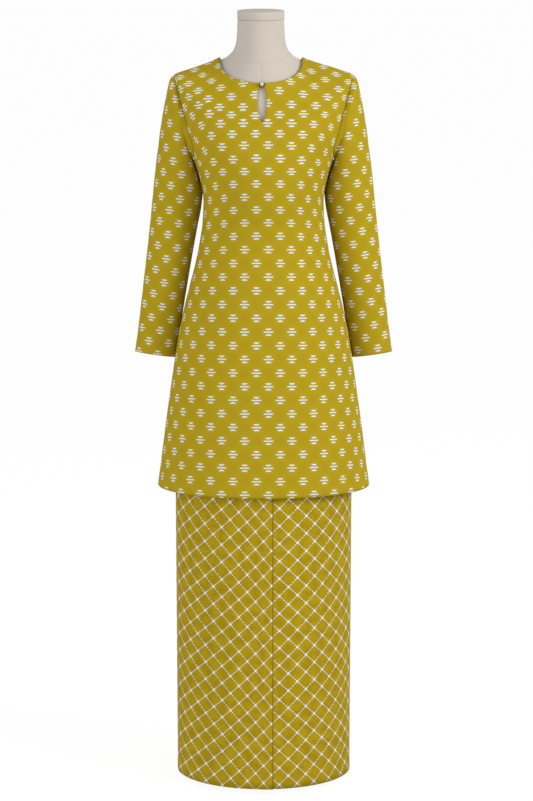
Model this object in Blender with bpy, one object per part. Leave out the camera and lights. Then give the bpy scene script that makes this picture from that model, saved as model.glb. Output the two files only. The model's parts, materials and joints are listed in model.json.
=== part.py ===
"""A baju kurung on a limbless dress form: a long-sleeved tunic with a keyhole neck over a straight skirt.

Metres, +Z up, the wearer's front faces -Y. The origin is on the floor under the middle of the stand.
Every cloth piece is a wall laid on a smooth surface that is interpolated between the rows of a short table.
"""

import bisect
import math

import bmesh
import bpy
from mathutils import Vector

# ---------------------------------------------------------------- driving dimensions
CLOTH = 0.0013  # thickness of a cloth wall
SEAM_GAP = 0.0003  # air between two pieces sewn together
FORM_CLEARANCE = 0.0035  # air between the tunic and the padded form under it
ROUNDNESS = 2.1  # exponent of the superellipse of a section: 2 is an ellipse

HEM_ABOVE_FLOOR = 0.010
WAIST_Z = 1.078  # top edge of the skirt panels, where the waistband starts

FRONT_COLUMNS = 8  # faces from the centre front to the side, on each half
BACK_COLUMNS = 14
FORM_COLUMNS = 28
SKIRT_QUARTER_COLUMNS = 9

# The tunic's inner surface. Each row is a line round the body, from the neckline down to the hem.
# side: the point on the shoulder line, on the armhole's middle or on the side seam.
# front, back: the points on the centre lines. droop: how the line falls from the side to the centre.
# The two edges are angles in degrees from the centre line at which the cloth ends: 90 is the shoulder or side
# seam, and less is the cut-out armhole.
BODY_COLUMNS = ("side_x", "side_y", "side_z", "front_y", "front_z", "back_y", "back_z",
                "droop", "front_edge", "back_edge")
BODY_ROWS = (
    # neckline, then the yoke out to the shoulder point
    (0.0780, 0.006, 1.4200, -0.0745, 1.3757, 0.0600, 1.4060, 0.69, 90, 90),
    (0.1000, 0.006, 1.4110, -0.0800, 1.3620, 0.0660, 1.3980, 0.80, 90, 90),
    (0.1230, 0.005, 1.4035, -0.0850, 1.3490, 0.0730, 1.3860, 1.00, 90, 90),
    (0.1460, 0.005, 1.3960, -0.0900, 1.3350, 0.0800, 1.3720, 1.15, 90, 90),
    (0.1675, 0.004, 1.3885, -0.0950, 1.3220, 0.0865, 1.3580, 1.30, 90, 90),
    # down the armhole to the underarm
    (0.1690, 0.003, 1.3850, -0.0980, 1.3130, 0.0900, 1.3460, 1.40, 80, 82),
    (0.1685, 0.002, 1.3715, -0.1010, 1.3040, 0.0930, 1.3350, 1.50, 73, 76),
    (0.1655, 0.001, 1.3430, -0.1070, 1.2850, 0.0985, 1.3110, 1.70, 68, 72),
    (0.1595, 0.000, 1.3070, -0.1130, 1.2650, 0.1020, 1.2840, 2.00, 65, 69),
    (0.1480, -0.001, 1.2710, -0.1178, 1.2430, 0.1035, 1.2550, 2.00, 67, 70),
    (0.1370, -0.002, 1.2430, -0.1203, 1.2250, 0.1035, 1.2320, 2.00, 73, 75),
    (0.1340, -0.002, 1.2300, -0.1211, 1.2130, 0.1030, 1.2190, 2.00, 80, 81),
    (0.1320, -0.002, 1.2245, -0.1214, 1.2050, 0.1025, 1.2100, 2.00, 90, 90),
    # waist, hip and the flare to the hem
    (0.1205, -0.004, 1.1900, -0.1206, 1.1800, 0.0980, 1.1830, 2.00, 90, 90),
    (0.1141, -0.007, 1.1500, -0.1145, 1.1450, 0.0890, 1.1470, 2.00, 90, 90),
    (0.1158, -0.009, 1.1100, -0.1060, 1.1080, 0.0800, 1.1090, 2.00, 90, 90),
    (0.1216, -0.008, 1.0700, -0.1025, 1.0700, 0.0780, 1.0700, 2.00, 90, 90),
    (0.1296, -0.006, 1.0300, -0.1040, 1.0300, 0.0840, 1.0300, 2.00, 90, 90),
    (0.1453, -0.003, 0.9700, -0.1090, 0.9700, 0.0975, 0.9700, 2.00, 90, 90),
    (0.1615, 0.000, 0.9000, -0.1155, 0.9000, 0.1100, 0.9000, 2.00, 90, 90),
    (0.1745, 0.000, 0.8200, -0.1215, 0.8200, 0.1185, 0.8200, 2.00, 90, 90),
    (0.1861, 0.000, 0.7400, -0.1270, 0.7400, 0.1260, 0.7400, 2.00, 90, 90),
    (0.1969, 0.000, 0.6600, -0.1325, 0.6600, 0.1325, 0.6600, 2.00, 90, 90),
    (0.2055, 0.000, 0.5920, -0.1365, 0.5920, 0.1365, 0.5920, 2.00, 90, 90),
)
SHOULDER_ROW = 4
UNDERARM_ROW = 12
LAST_FORM_ROW = 14  # the padded form follows the tunic down to this row

# Soft trough from the bust to the hip on each side of the front and back, where darts take in the cloth.
DART_ANGLE = 47
DART_SPREAD = 11  # degrees
DART_DEPTH = 0.0020
DART_MIDDLE_Z = 1.115
DART_HALF_HEIGHT = 0.120

# Keyhole: half its width against the drop below the neckline, down the centre front.
KEYHOLE = (
    (0.000, 0.0012), (0.004, 0.0024), (0.009, 0.0043), (0.015, 0.0068), (0.020, 0.0080), (0.026, 0.0088),
    (0.034, 0.0091), (0.042, 0.0088), (0.047, 0.0081), (0.058, 0.0056), (0.064, 0.0041), (0.069, 0.0023),
    (0.072, 0.0000),
)
KEYHOLE_REACH = 0.030  # how far from the centre the threads are pushed aside

# The skirt's inner surface, from the waist down. It is straight from the low hip to the hem.
SKIRT_COLUMNS = ("z", "side_x", "side_y", "front_y", "back_y")
SKIRT_ROWS = (
    (WAIST_Z, 0.1115, -0.0115, -0.0970, 0.0740),
    (1.040, 0.1215, -0.009, -0.0980, 0.0785),
    (1.000, 0.1335, -0.005, -0.1005, 0.0865),
    (0.950, 0.1470, -0.002, -0.1058, 0.0975),
    (0.900, 0.1575, 0.000, -0.1100, 0.1055),
    (0.850, 0.1650, 0.000, -0.1140, 0.1115),
    (0.800, 0.1695, 0.000, -0.1170, 0.1160),
    (0.740, 0.1712, 0.000, -0.1205, 0.1200),
    (0.660, 0.1712, 0.000, -0.1235, 0.1235),
    (0.560, 0.1712, 0.000, -0.1260, 0.1260),
    (0.380, 0.1710, 0.000, -0.1290, 0.1290),
    (0.200, 0.1708, 0.000, -0.1315, 0.1315),
    (HEM_ABOVE_FLOOR, 0.1706, 0.000, -0.1330, 0.1330),
)
SKIRT_SEAM_ANGLE = 3.2  # degrees round from the centre front to the lapped seam
LAP_ANGLE = 2.6  # how far the upper edge laps over the lower one
LAP_RAMP = (8.0, 1.5)  # degrees before the seam at which the upper layer starts to rise and has risen
LAP_RISE = CLOTH + 0.0005

BAND_HEIGHT = 0.030  # the waistband, over the panels
BAND_LIFT = 0.0007  # of its lower edge over theirs, which tilt outwards

# Sleeve of the wearer's left, on +X: outer and inner outline, its middle in Y and half its depth.
SLEEVE_COLUMNS = ("outer_x", "outer_z", "inner_x", "inner_z", "middle_y", "half_depth", "front_lift")
SLEEVE_ROWS = (
    (0.1772, 1.3799, 0.1352, 1.2209, -0.001, 0.0490, 0.0000),
    (0.1862, 1.3447, 0.1301, 1.2126, 0.003, 0.0520, 0.0000),
    (0.1953, 1.2973, 0.1245, 1.1971, 0.008, 0.0540, 0.0000),
    (0.2021, 1.2489, 0.1199, 1.1817, 0.012, 0.0540, 0.0000),
    (0.2080, 1.2064, 0.1168, 1.1642, 0.015, 0.0525, 0.0000),
    (0.2132, 1.1579, 0.1195, 1.1358, 0.017, 0.0495, 0.0002),
    (0.2188, 1.1053, 0.1275, 1.0953, 0.018, 0.0455, 0.0005),
    (0.2247, 1.0537, 0.1369, 1.0446, 0.018, 0.0415, 0.0009),
    (0.2312, 1.0016, 0.1461, 0.9925, 0.020, 0.0375, 0.0013),
    (0.2377, 0.9493, 0.1550, 0.9403, 0.022, 0.0340, 0.0017),
    (0.2441, 0.8980, 0.1632, 0.8899, 0.024, 0.0305, 0.0021),
    (0.2507, 0.8507, 0.1723, 0.8396, 0.025, 0.0280, 0.0025),
)
SLEEVE_LEVELS = (0, 0.4, 1, 2, 3, 4, 4.5, 5, 5.5, 6, 7, 8, 9, 10, 11, 12)  # rings kept; 0 is the armhole's
SEAM_RISE = CLOTH + 0.0004  # the sleeve's head stands on the armhole's edge
SEAM_INSET = 0.0005  # and a little inside it
BESIDE_EDGE = 0.96  # share of the panel at which the way the cloth lies beside the armhole is read
BESIDE_ROW = 0.2  # and the part of a row above and below for it

# Dress form. Rows above the neckline, then below the waist; between them it follows the tunic's rows.
FORM_NECK_ROWS = (
    # neck top, tilted a little forward, down to the seam round the base of the neck
    (0.0440, -0.010, 1.4925, -0.0585, 1.4900, 0.0385, 1.4950, 1.0),
    (0.0449, -0.009, 1.4690, -0.0585, 1.4640, 0.0405, 1.4730, 1.0),
    (0.0470, -0.006, 1.4480, -0.0590, 1.4400, 0.0425, 1.4530, 1.0),
    (0.0510, -0.003, 1.4365, -0.0600, 1.4220, 0.0450, 1.4400, 1.0),
    (0.0582, 0.001, 1.4270, -0.0625, 1.4050, 0.0485, 1.4280, 0.9),
    (0.0665, 0.004, 1.4200, -0.0665, 1.3880, 0.0530, 1.4150, 0.75),
)
FORM_HIP_ROWS = (
    (0.1085, -0.011, 1.1100, -0.0950, 1.1100, 0.0720, 1.1100, 2.0),
    (0.1085, -0.011, 1.0700, -0.0935, 1.0700, 0.0710, 1.0700, 2.0),
    (0.1190, -0.007, 1.0300, -0.0950, 1.0300, 0.0770, 1.0300, 2.0),
    (0.1340, -0.003, 0.9700, -0.0990, 0.9700, 0.0900, 0.9700, 2.0),
    (0.1465, 0.000, 0.9000, -0.1040, 0.9000, 0.1010, 0.9000, 2.0),
    (0.1510, 0.000, 0.8400, -0.1060, 0.8400, 0.1060, 0.8400, 2.0),
    (0.1480, 0.000, 0.7900, -0.1030, 0.7900, 0.1050, 0.7900, 2.0),
    (0.1400, 0.000, 0.7600, -0.0960, 0.7600, 0.0980, 0.7600, 2.0),
    (0.1300, 0.000, 0.7500, -0.0870, 0.7500, 0.0890, 0.7500, 2.0),
)
# The neck and the yoke lean to the wearer's right: how far against the height. It dies away sideways between
# two half widths, so that the armholes stay level.
LEAN = ((1.240, 0.0000), (1.300, -0.0019), (1.376, -0.0032), (1.420, -0.0050))
LEAN_FADE = (0.070, 0.135)
CAP_HALF_WIDTH = 0.0446
CAP_HALF_DEPTH = 0.0490
CAP_HEIGHT = 0.0155
CAP_TILT = math.radians(2.95)
CAP_BEVEL = 0.0012
CAP_DOME = 0.0014

POLE_RADIUS = 0.0125
COLLAR_RADIUS = 0.024
COLLAR_HEIGHT = 0.030
BASE_RADIUS = 0.100
BASE_THICKNESS = 0.012
BASE_BEVEL = 0.002

BUTTON_RADIUS = 0.0040
BUTTON_LEVEL = 0.27  # row of the tunic at which it sits, over the top of the keyhole
LOOP_RADIUS = 0.0050
LOOP_CORD_RADIUS = 0.0007
BUTTON_AIR = 0.0006  # between the cloth and the button, or its loop
CHEST_TILT = math.radians(68)  # the way the cloth at the neckline faces: forward and a little up

LINEN = ("form_linen", (0.62, 0.57, 0.49), 0.85, 0.0)
PRINT = ("tunic_print", (0.43, 0.31, 0.012), 0.75, 0.0)
LATTICE = ("skirt_print", (0.42, 0.30, 0.012), 0.75, 0.0)
METAL = ("stand_metal", (0.55, 0.55, 0.56), 0.35, 1.0)
PEARL = ("pearl", (0.85, 0.80, 0.70), 0.25, 0.0)
CORD = ("loop_cord", (0.40, 0.29, 0.02), 0.8, 0.0)


# ---------------------------------------------------------------- tables and sections
def between(values, level):
    """A smooth value at a fractional row number, which never overshoots the two rows it lies between."""
    last = len(values) - 1
    i = min(int(level), last - 1)
    t = level - i
    steps = [b - a for a, b in zip(values, values[1:])]

    def slope(k):
        before, after = steps[max(k - 1, 0)], steps[min(k, last - 1)]
        return 0.0 if before * after <= 0 else 2 * before * after / (before + after)

    start, end = slope(i), slope(i + 1)
    return (values[i] * (1 + 2 * t) * (1 - t) ** 2 + start * t * (1 - t) ** 2
            + values[i + 1] * t * t * (3 - 2 * t) - end * t * t * (1 - t))


def row_at(rows, columns, level):
    """The named values of a table at a fractional row number."""
    return {name: between([row[k] for row in rows], level) for k, name in enumerate(columns)}


def curve_at(points, x):
    """Straight-line value of a list of (x, y) points."""
    x = min(max(x, points[0][0]), points[-1][0])
    i = min(max(bisect.bisect_left([p[0] for p in points], x), 1), len(points) - 1)
    (x0, y0), (x1, y1) = points[i - 1], points[i]
    return y0 + (y1 - y0) * (x - x0) / (x1 - x0)


def smooth_step(t):
    """0 up to t = 0 and 1 from t = 1, eased at both ends."""
    t = min(max(t, 0.0), 1.0)
    return t * t * (3 - 2 * t)


def leaned(point):
    """A point of the tunic or the form, moved by the lean of the neck and the yoke."""
    near, far = LEAN_FADE
    point.x += curve_at(LEAN, point.z) * (1 - smooth_step((abs(point.x) - near) / (far - near)))
    return point


def section_point(row, angle, back=False):
    """A point of a row, angle degrees from the centre front, or from the centre back, to +X."""
    s, c = math.sin(math.radians(angle)), max(math.cos(math.radians(angle)), 0.0)
    centre_y, centre_z = (row["back_y"], row["back_z"]) if back else (row["front_y"], row["front_z"])
    power = 2 / ROUNDNESS
    return Vector((
        math.copysign(abs(s) ** power, s) * row["side_x"],
        row["side_y"] + (centre_y - row["side_y"]) * c ** power,
        row["side_z"] + (centre_z - row["side_z"]) * c ** row["droop"],
    ))


def tunic_point(level, share, back=False, gap=0.0):
    """A point of the tunic's inner surface. share runs from -1 to 1 across the front, or the back, panel.
    gap pushes the cloth this far aside at the centre front, along its surface."""
    row = row_at(BODY_ROWS, BODY_COLUMNS, level)
    angle = share * row["back_edge" if back else "front_edge"]
    x = section_point(row, angle).x
    if gap and abs(x) < KEYHOLE_REACH:
        x += gap * (1 - abs(x) / KEYHOLE_REACH)
        angle = math.copysign(math.degrees(math.asin((abs(x) / row["side_x"]) ** (ROUNDNESS / 2))), x)
    point = section_point(row, angle, back)
    height = (point.z - DART_MIDDLE_Z) / DART_HALF_HEIGHT
    if abs(height) < 1:
        across = (abs(angle) - DART_ANGLE) / DART_SPREAD
        depth = DART_DEPTH * math.exp(-across * across) * math.cos(height * math.pi / 2) ** 2
        middle = Vector((0.0, row["side_y"], point.z))
        point += (middle - point).normalized() * depth
    return leaned(point)


# ---------------------------------------------------------------- Blender helpers
def material(finish):
    """One Principled material for each finish."""
    name, colour, roughness, metallic = finish
    made = bpy.data.materials.get(name)
    if made is None:
        made = bpy.data.materials.new(name)
        made.use_nodes = True
        shader = made.node_tree.nodes["Principled BSDF"]
        shader.inputs["Base Color"].default_value = (*colour, 1.0)
        shader.inputs["Roughness"].default_value = roughness
        shader.inputs["Metallic"].default_value = metallic
    return made


def finish_object(name, bm, finish, parent):
    """Turns a bmesh into a named, smooth-shaded object under the model's empty."""
    mesh = bpy.data.meshes.new(name)
    bm.to_mesh(mesh)
    bm.free()
    mesh.shade_smooth()
    mesh.set_sharp_from_angle(angle=math.radians(40))
    made = bpy.data.objects.new(name, mesh)
    made.data.materials.append(material(finish))
    bpy.context.scene.collection.objects.link(made)
    made.parent = parent
    return made


def add_grid(bm, columns, rows, place):
    """Adds a grid whose corner (i, j) is put at place(i, j), with i along a row and j from row to row."""
    verts = bmesh.ops.create_grid(bm, x_segments=columns, y_segments=rows, size=0.5)["verts"]
    for vert in verts:
        vert.co = place(round((vert.co.x + 0.5) * columns), round((vert.co.y + 0.5) * rows))


def cloth_object(name, bm, finish, parent, outward=1.0):
    """A sheet given its thickness. outward 1 puts the cloth outside the sheet's surface, -1 inside it."""
    made = finish_object(name, bm, finish, parent)
    wall = made.modifiers.new("cloth", "SOLIDIFY")
    wall.thickness = CLOTH
    wall.offset = outward
    return made


def tube_object(name, rings, finish, parent):
    """A closed solid skinned over a list of rings of points, bottom first, with flat ends."""
    bm = bmesh.new()
    loops = []
    for ring in rings:
        verts = [bm.verts.new(point) for point in ring]
        loops.append([bm.edges.new((a, b)) for a, b in zip(verts, verts[1:] + verts[:1])])
    for lower, upper in zip(loops, loops[1:]):
        bmesh.ops.bridge_loops(bm, edges=lower + upper)
    bmesh.ops.holes_fill(bm, edges=loops[0] + loops[-1], sides=0)
    bmesh.ops.recalc_face_normals(bm, faces=bm.faces)
    return finish_object(name, bm, finish, parent)


# ---------------------------------------------------------------- tunic
def tunic_levels():
    """Row numbers at which the tunic's grid is cut, closer round the keyhole and the armhole."""
    levels = [float(UNDERARM_ROW)]
    levels += [UNDERARM_ROW + k for k in range(1, len(BODY_ROWS) - UNDERARM_ROW)]
    fine = [k / 2 for k in range(2 * UNDERARM_ROW)]
    return sorted(fine + levels)


LEVELS = tunic_levels()


def make_tunic_front(parent):
    """One panel from shoulder to hem, with the keyhole slit open from the neckline."""
    bm = bmesh.new()
    top = section_point(row_at(BODY_ROWS, BODY_COLUMNS, 0), 0).z
    rows = len(LEVELS) - 1

    def place(i, j, side):
        level = LEVELS[rows - j]
        share = side * (i if side > 0 else FRONT_COLUMNS - i) / FRONT_COLUMNS
        drop = top - section_point(row_at(BODY_ROWS, BODY_COLUMNS, level), 0).z
        return tunic_point(level, share, gap=side * curve_at(KEYHOLE, drop))

    for side in (-1, 1):
        add_grid(bm, FRONT_COLUMNS, rows, lambda i, j, side=side: place(i, j, side))
    bmesh.ops.remove_doubles(bm, verts=bm.verts, dist=0.0001)
    move_side_edges(bm, -SEAM_GAP / 2)
    return cloth_object("tunic_front", bm, PRINT, parent)


def make_tunic_back(parent):
    """One panel from shoulder to hem."""
    bm = bmesh.new()
    rows = len(LEVELS) - 1
    add_grid(bm, BACK_COLUMNS, rows,
             lambda i, j: tunic_point(LEVELS[rows - j], 1 - 2 * i / BACK_COLUMNS, back=True))
    move_side_edges(bm, SEAM_GAP / 2)
    return cloth_object("tunic_back", bm, PRINT, parent)


def move_side_edges(bm, shift):
    """Moves a panel's edges along Y by half the seam's gap, so that it stands clear of the other panel."""
    for vert in bm.verts:
        if vert.is_boundary:
            vert.co.y += shift


def armhole_loop():
    """Points round the armhole of +X, down its front edge and up its back edge, each with the way the cloth
    faces there and the way into the opening."""
    levels = [k / 2 for k in range(2 * SHOULDER_ROW, 2 * UNDERARM_ROW + 1)]
    stations = [(level, False) for level in levels] + [(level, True) for level in levels[-2:0:-1]]
    points = [tunic_point(level, 1.0, back) for level, back in stations]
    loop = []
    for k, (level, back) in enumerate(stations):
        across = points[k] - tunic_point(level, BESIDE_EDGE, back)
        above, below = (tunic_point(level + step, BESIDE_EDGE, back) for step in (-BESIDE_ROW, BESIDE_ROW))
        down = below - above
        facing = across.cross(down).normalized() * (1 if back else -1)
        along = points[(k + 1) % len(points)] - points[k - 1]
        loop.append((points[k], facing, facing.cross(along).normalized()))
    return loop


def sleeve_rings(side):
    """Rings of the sleeve's outer surface, from the armhole to the cuff. side is 1 for +X and -1 for -X."""
    first = [point + facing * SEAM_RISE + into * SEAM_INSET for point, facing, into in armhole_loop()]
    steps = [(b - a).length for a, b in zip(first, first[1:] + first[:1])]
    half = len(first) // 2
    front, back = sum(steps[:half]), sum(steps[half:])
    turns = []
    run = 0.0
    for k, step in enumerate(steps):
        turns.append(math.pi * (run / front if k < half else 1 + (run - front) / back))
        run += step
    rings = [first]
    for row in SLEEVE_ROWS:
        outer_x, outer_z, inner_x, inner_z, middle_y, half_depth, front_lift = row
        middle = Vector(((outer_x + inner_x) / 2, middle_y, (outer_z + inner_z) / 2))
        reach = Vector(((outer_x - inner_x) / 2, 0.0, (outer_z - inner_z) / 2))
        forward = Vector((0, -half_depth, front_lift))
        rings.append([middle + reach * math.cos(a) + forward * math.sin(a) for a in turns])
    smooth = []
    for level in SLEEVE_LEVELS:
        ring = []
        for k in range(len(first)):
            x, y, z = (between([r[k][axis] for r in rings], level) for axis in range(3))
            ring.append(Vector((side * x, y, z)))
        smooth.append(ring)
    return smooth


def make_sleeve(name, side, parent):
    """A set-in sleeve: a tube from the armhole to the open cuff, seamed underneath."""
    rings = sleeve_rings(side)
    columns = len(rings[0])
    rows = len(rings) - 1
    bm = bmesh.new()
    add_grid(bm, columns, rows, lambda i, j: rings[rows - j][(-side * i) % columns])
    bmesh.ops.remove_doubles(bm, verts=bm.verts, dist=0.0001)
    return cloth_object(name, bm, PRINT, parent, outward=-1.0)


# ---------------------------------------------------------------- skirt
def skirt_point(row_number, angle, rise=0.0):
    """A point of the skirt's inner surface, angle degrees from the centre front to +X, round to 360."""
    row = dict(zip(SKIRT_COLUMNS, SKIRT_ROWS[row_number]))
    s, c = math.sin(math.radians(angle)), math.cos(math.radians(angle))
    half_depth = row["side_y"] - row["front_y"] if c >= 0 else row["back_y"] - row["side_y"]
    return Vector((s * (row["side_x"] + rise), row["side_y"] - c * (half_depth + rise), row["z"]))


def make_skirt_panel(name, angles, parent, lapped=False):
    """A panel from the waistband to the hem whose columns stand at these angles; a lapped one rises over its
    neighbour at its last columns."""
    bm = bmesh.new()
    rows = len(SKIRT_ROWS) - 1

    def place(i, j):
        rise = smooth_step((angles[i] - SKIRT_SEAM_ANGLE + LAP_RAMP[0]) / (LAP_RAMP[0] - LAP_RAMP[1]))
        return skirt_point(rows - j, angles[i], LAP_RISE * rise if lapped else 0.0)

    add_grid(bm, len(angles) - 1, rows, place)
    return cloth_object(name, bm, LATTICE, parent)


def spread(start, end, count):
    """count + 1 evenly spaced angles from start to end."""
    return [start + (end - start) * k / count for k in range(count + 1)]


def make_skirt(parent):
    """Two front panels that meet in a lapped seam, and a back panel."""
    gap = math.degrees(SEAM_GAP / 2 / SKIRT_ROWS[-1][1])
    seam = SKIRT_SEAM_ANGLE
    side = 90 - gap
    lap = [seam - LAP_RAMP[0], seam - sum(LAP_RAMP) / 2, seam - LAP_RAMP[1], seam + LAP_ANGLE]
    columns = SKIRT_QUARTER_COLUMNS
    make_skirt_panel("skirt_front_right", spread(-side, lap[0], columns) + lap[1:], parent, lapped=True)
    make_skirt_panel("skirt_front_left", spread(seam, side, columns), parent)
    make_skirt_panel("skirt_back", spread(180 - side, 180 + side, 2 * columns), parent)


def make_waistband(parent):
    """An elastic band that stands on the panels' top edge, stretched round the form."""
    columns = 4 * SKIRT_QUARTER_COLUMNS
    lift = Vector((0, 0, BAND_LIFT))
    step = Vector((0, 0, BAND_HEIGHT / 2))
    bm = bmesh.new()

    def place(i, j):
        return skirt_point(0, 360 * (i % columns) / columns, CLOTH) + lift + step * j

    add_grid(bm, columns, 2, place)
    bmesh.ops.remove_doubles(bm, verts=bm.verts, dist=0.0001)
    cloth_object("skirt_waistband", bm, LATTICE, parent, outward=-1.0)


# ---------------------------------------------------------------- dress form and stand
def form_row(values):
    """A row of the form as named values."""
    return dict(zip(BODY_COLUMNS, values))


def form_rows():
    """The form's rows, top first: the neck, the tunic's upper rows drawn in, and the hips."""
    rows = [form_row(values) for values in FORM_NECK_ROWS]
    for values in BODY_ROWS[:LAST_FORM_ROW + 1]:
        row = form_row(values)
        row["side_x"] -= FORM_CLEARANCE
        row["side_z"] -= FORM_CLEARANCE
        row["front_y"] += FORM_CLEARANCE
        row["back_y"] -= FORM_CLEARANCE
        rows.append(row)
    return rows + [form_row(values) for values in FORM_HIP_ROWS]


def make_form(parent):
    """The padded torso with its neck, smooth and closed, and the cap on the neck."""
    half = FORM_COLUMNS // 2
    rings = []
    for row in reversed(form_rows()):
        front = [section_point(row, 180 * k / half - 90) for k in range(half)]
        back = [section_point(row, 90 - 180 * k / half, back=True) for k in range(half)]
        rings.append([leaned(point) for point in front + back])
    tube_object("form_torso", rings, LINEN, parent)

    top = form_row(FORM_NECK_ROWS[0])
    bm = bmesh.new()
    bmesh.ops.create_cone(bm, cap_ends=True, segments=FORM_COLUMNS, radius1=1, radius2=1, depth=CAP_HEIGHT)
    bmesh.ops.scale(bm, vec=(CAP_HALF_WIDTH, CAP_HALF_DEPTH, 1), verts=bm.verts)
    top_face = [face for face in bm.faces if face.normal.z > 0.9]
    bmesh.ops.poke(bm, faces=top_face)["verts"][0].co.z += CAP_DOME
    rims = [e for e in bm.edges if abs(e.verts[0].co.z - e.verts[1].co.z) < CAP_BEVEL]
    bmesh.ops.bevel(bm, geom=rims, offset=CAP_BEVEL, segments=2, profile=0.5, affect="EDGES", material=-1)
    cap = finish_object("form_neck_cap", bm, LINEN, parent)
    cap.rotation_euler = (CAP_TILT, 0, 0)
    middle_y = (top["front_y"] + top["back_y"]) / 2
    middle_z = (top["front_z"] + top["back_z"]) / 2
    lift = CAP_HEIGHT / 2 + SEAM_GAP
    cap.location = (LEAN[-1][1], middle_y - math.sin(CAP_TILT) * lift, middle_z + math.cos(CAP_TILT) * lift)


def make_turned(name, radius, height, z, finish, parent, segments=32, bevel=0.0):
    """A round upright piece standing at height z."""
    bm = bmesh.new()
    bmesh.ops.create_cone(bm, cap_ends=True, segments=segments, radius1=radius, radius2=radius, depth=height)
    if bevel:
        rims = [e for e in bm.edges if abs(e.verts[0].co.z - e.verts[1].co.z) < bevel]
        bmesh.ops.bevel(bm, geom=rims, offset=bevel, segments=2, profile=0.5, affect="EDGES", material=-1)
    made = finish_object(name, bm, finish, parent)
    made.location = (0, 0, z + height / 2)
    return made


def make_stand(parent):
    """A round steel plate, a pole up into the form, and a collar where they meet."""
    form_bottom = FORM_HIP_ROWS[-1][2]
    make_turned("stand_base", BASE_RADIUS, BASE_THICKNESS, 0, METAL, parent, 48, BASE_BEVEL)
    collar_z = form_bottom - SEAM_GAP - COLLAR_HEIGHT
    make_turned("stand_collar", COLLAR_RADIUS, COLLAR_HEIGHT, collar_z, METAL, parent, 24, BASE_BEVEL)
    pole_bottom = BASE_THICKNESS + SEAM_GAP
    pole_height = collar_z - SEAM_GAP - pole_bottom
    make_turned("stand_pole", POLE_RADIUS, pole_height, pole_bottom, METAL, parent, 16)


def make_button(parent):
    """A ball button at the top of the keyhole, in its loop of cord."""
    middle = tunic_point(BUTTON_LEVEL, 0.0)
    facing = Vector((0, -math.sin(CHEST_TILT), math.cos(CHEST_TILT)))
    surface = middle + facing * CLOTH
    bm = bmesh.new()
    bmesh.ops.create_uvsphere(bm, u_segments=16, v_segments=10, radius=BUTTON_RADIUS)
    ball = finish_object("button", bm, PEARL, parent)
    ball.location = surface + facing * (BUTTON_RADIUS + BUTTON_AIR)
    bm = bmesh.new()
    circle = bmesh.ops.create_circle(bm, segments=8, radius=LOOP_CORD_RADIUS)["verts"]
    bmesh.ops.rotate(bm, verts=circle, cent=(0, 0, 0),
                     matrix=Vector((0, 0, 1)).rotation_difference(Vector((0, 1, 0))).to_matrix())
    bmesh.ops.translate(bm, verts=circle, vec=(LOOP_RADIUS, 0, 0))
    bmesh.ops.spin(bm, geom=bm.verts[:] + bm.edges[:], cent=(0, 0, 0), axis=(0, 0, 1),
                   angle=2 * math.pi, steps=20, use_merge=True)
    bmesh.ops.recalc_face_normals(bm, faces=bm.faces)
    loop = finish_object("button_loop", bm, CORD, parent)
    loop.rotation_euler = Vector((0, 0, 1)).rotation_difference(facing).to_euler()
    loop.location = surface + facing * (LOOP_CORD_RADIUS + BUTTON_AIR)


def main():
    for old in list(bpy.data.objects):
        bpy.data.objects.remove(old)
    root = bpy.data.objects.new("baju_kurung", None)
    bpy.context.scene.collection.objects.link(root)
    make_stand(root)
    make_form(root)
    make_skirt(root)
    make_waistband(root)
    make_tunic_front(root)
    make_tunic_back(root)
    make_sleeve("sleeve_left", 1, root)
    make_sleeve("sleeve_right", -1, root)
    make_button(root)


main()
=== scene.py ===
"""The look of a baju kurung on its dress form: printed tunic and skirt, linen-covered form, steel stand.

Metres, +Z up, the wearer's front faces -Y. Every cloth piece is a fine sheet on the same smooth surface as
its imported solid, with its own cloth coordinates, in metres along the threads, for the print and the weave.
"""

import bisect
import functools
import json
import math

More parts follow.
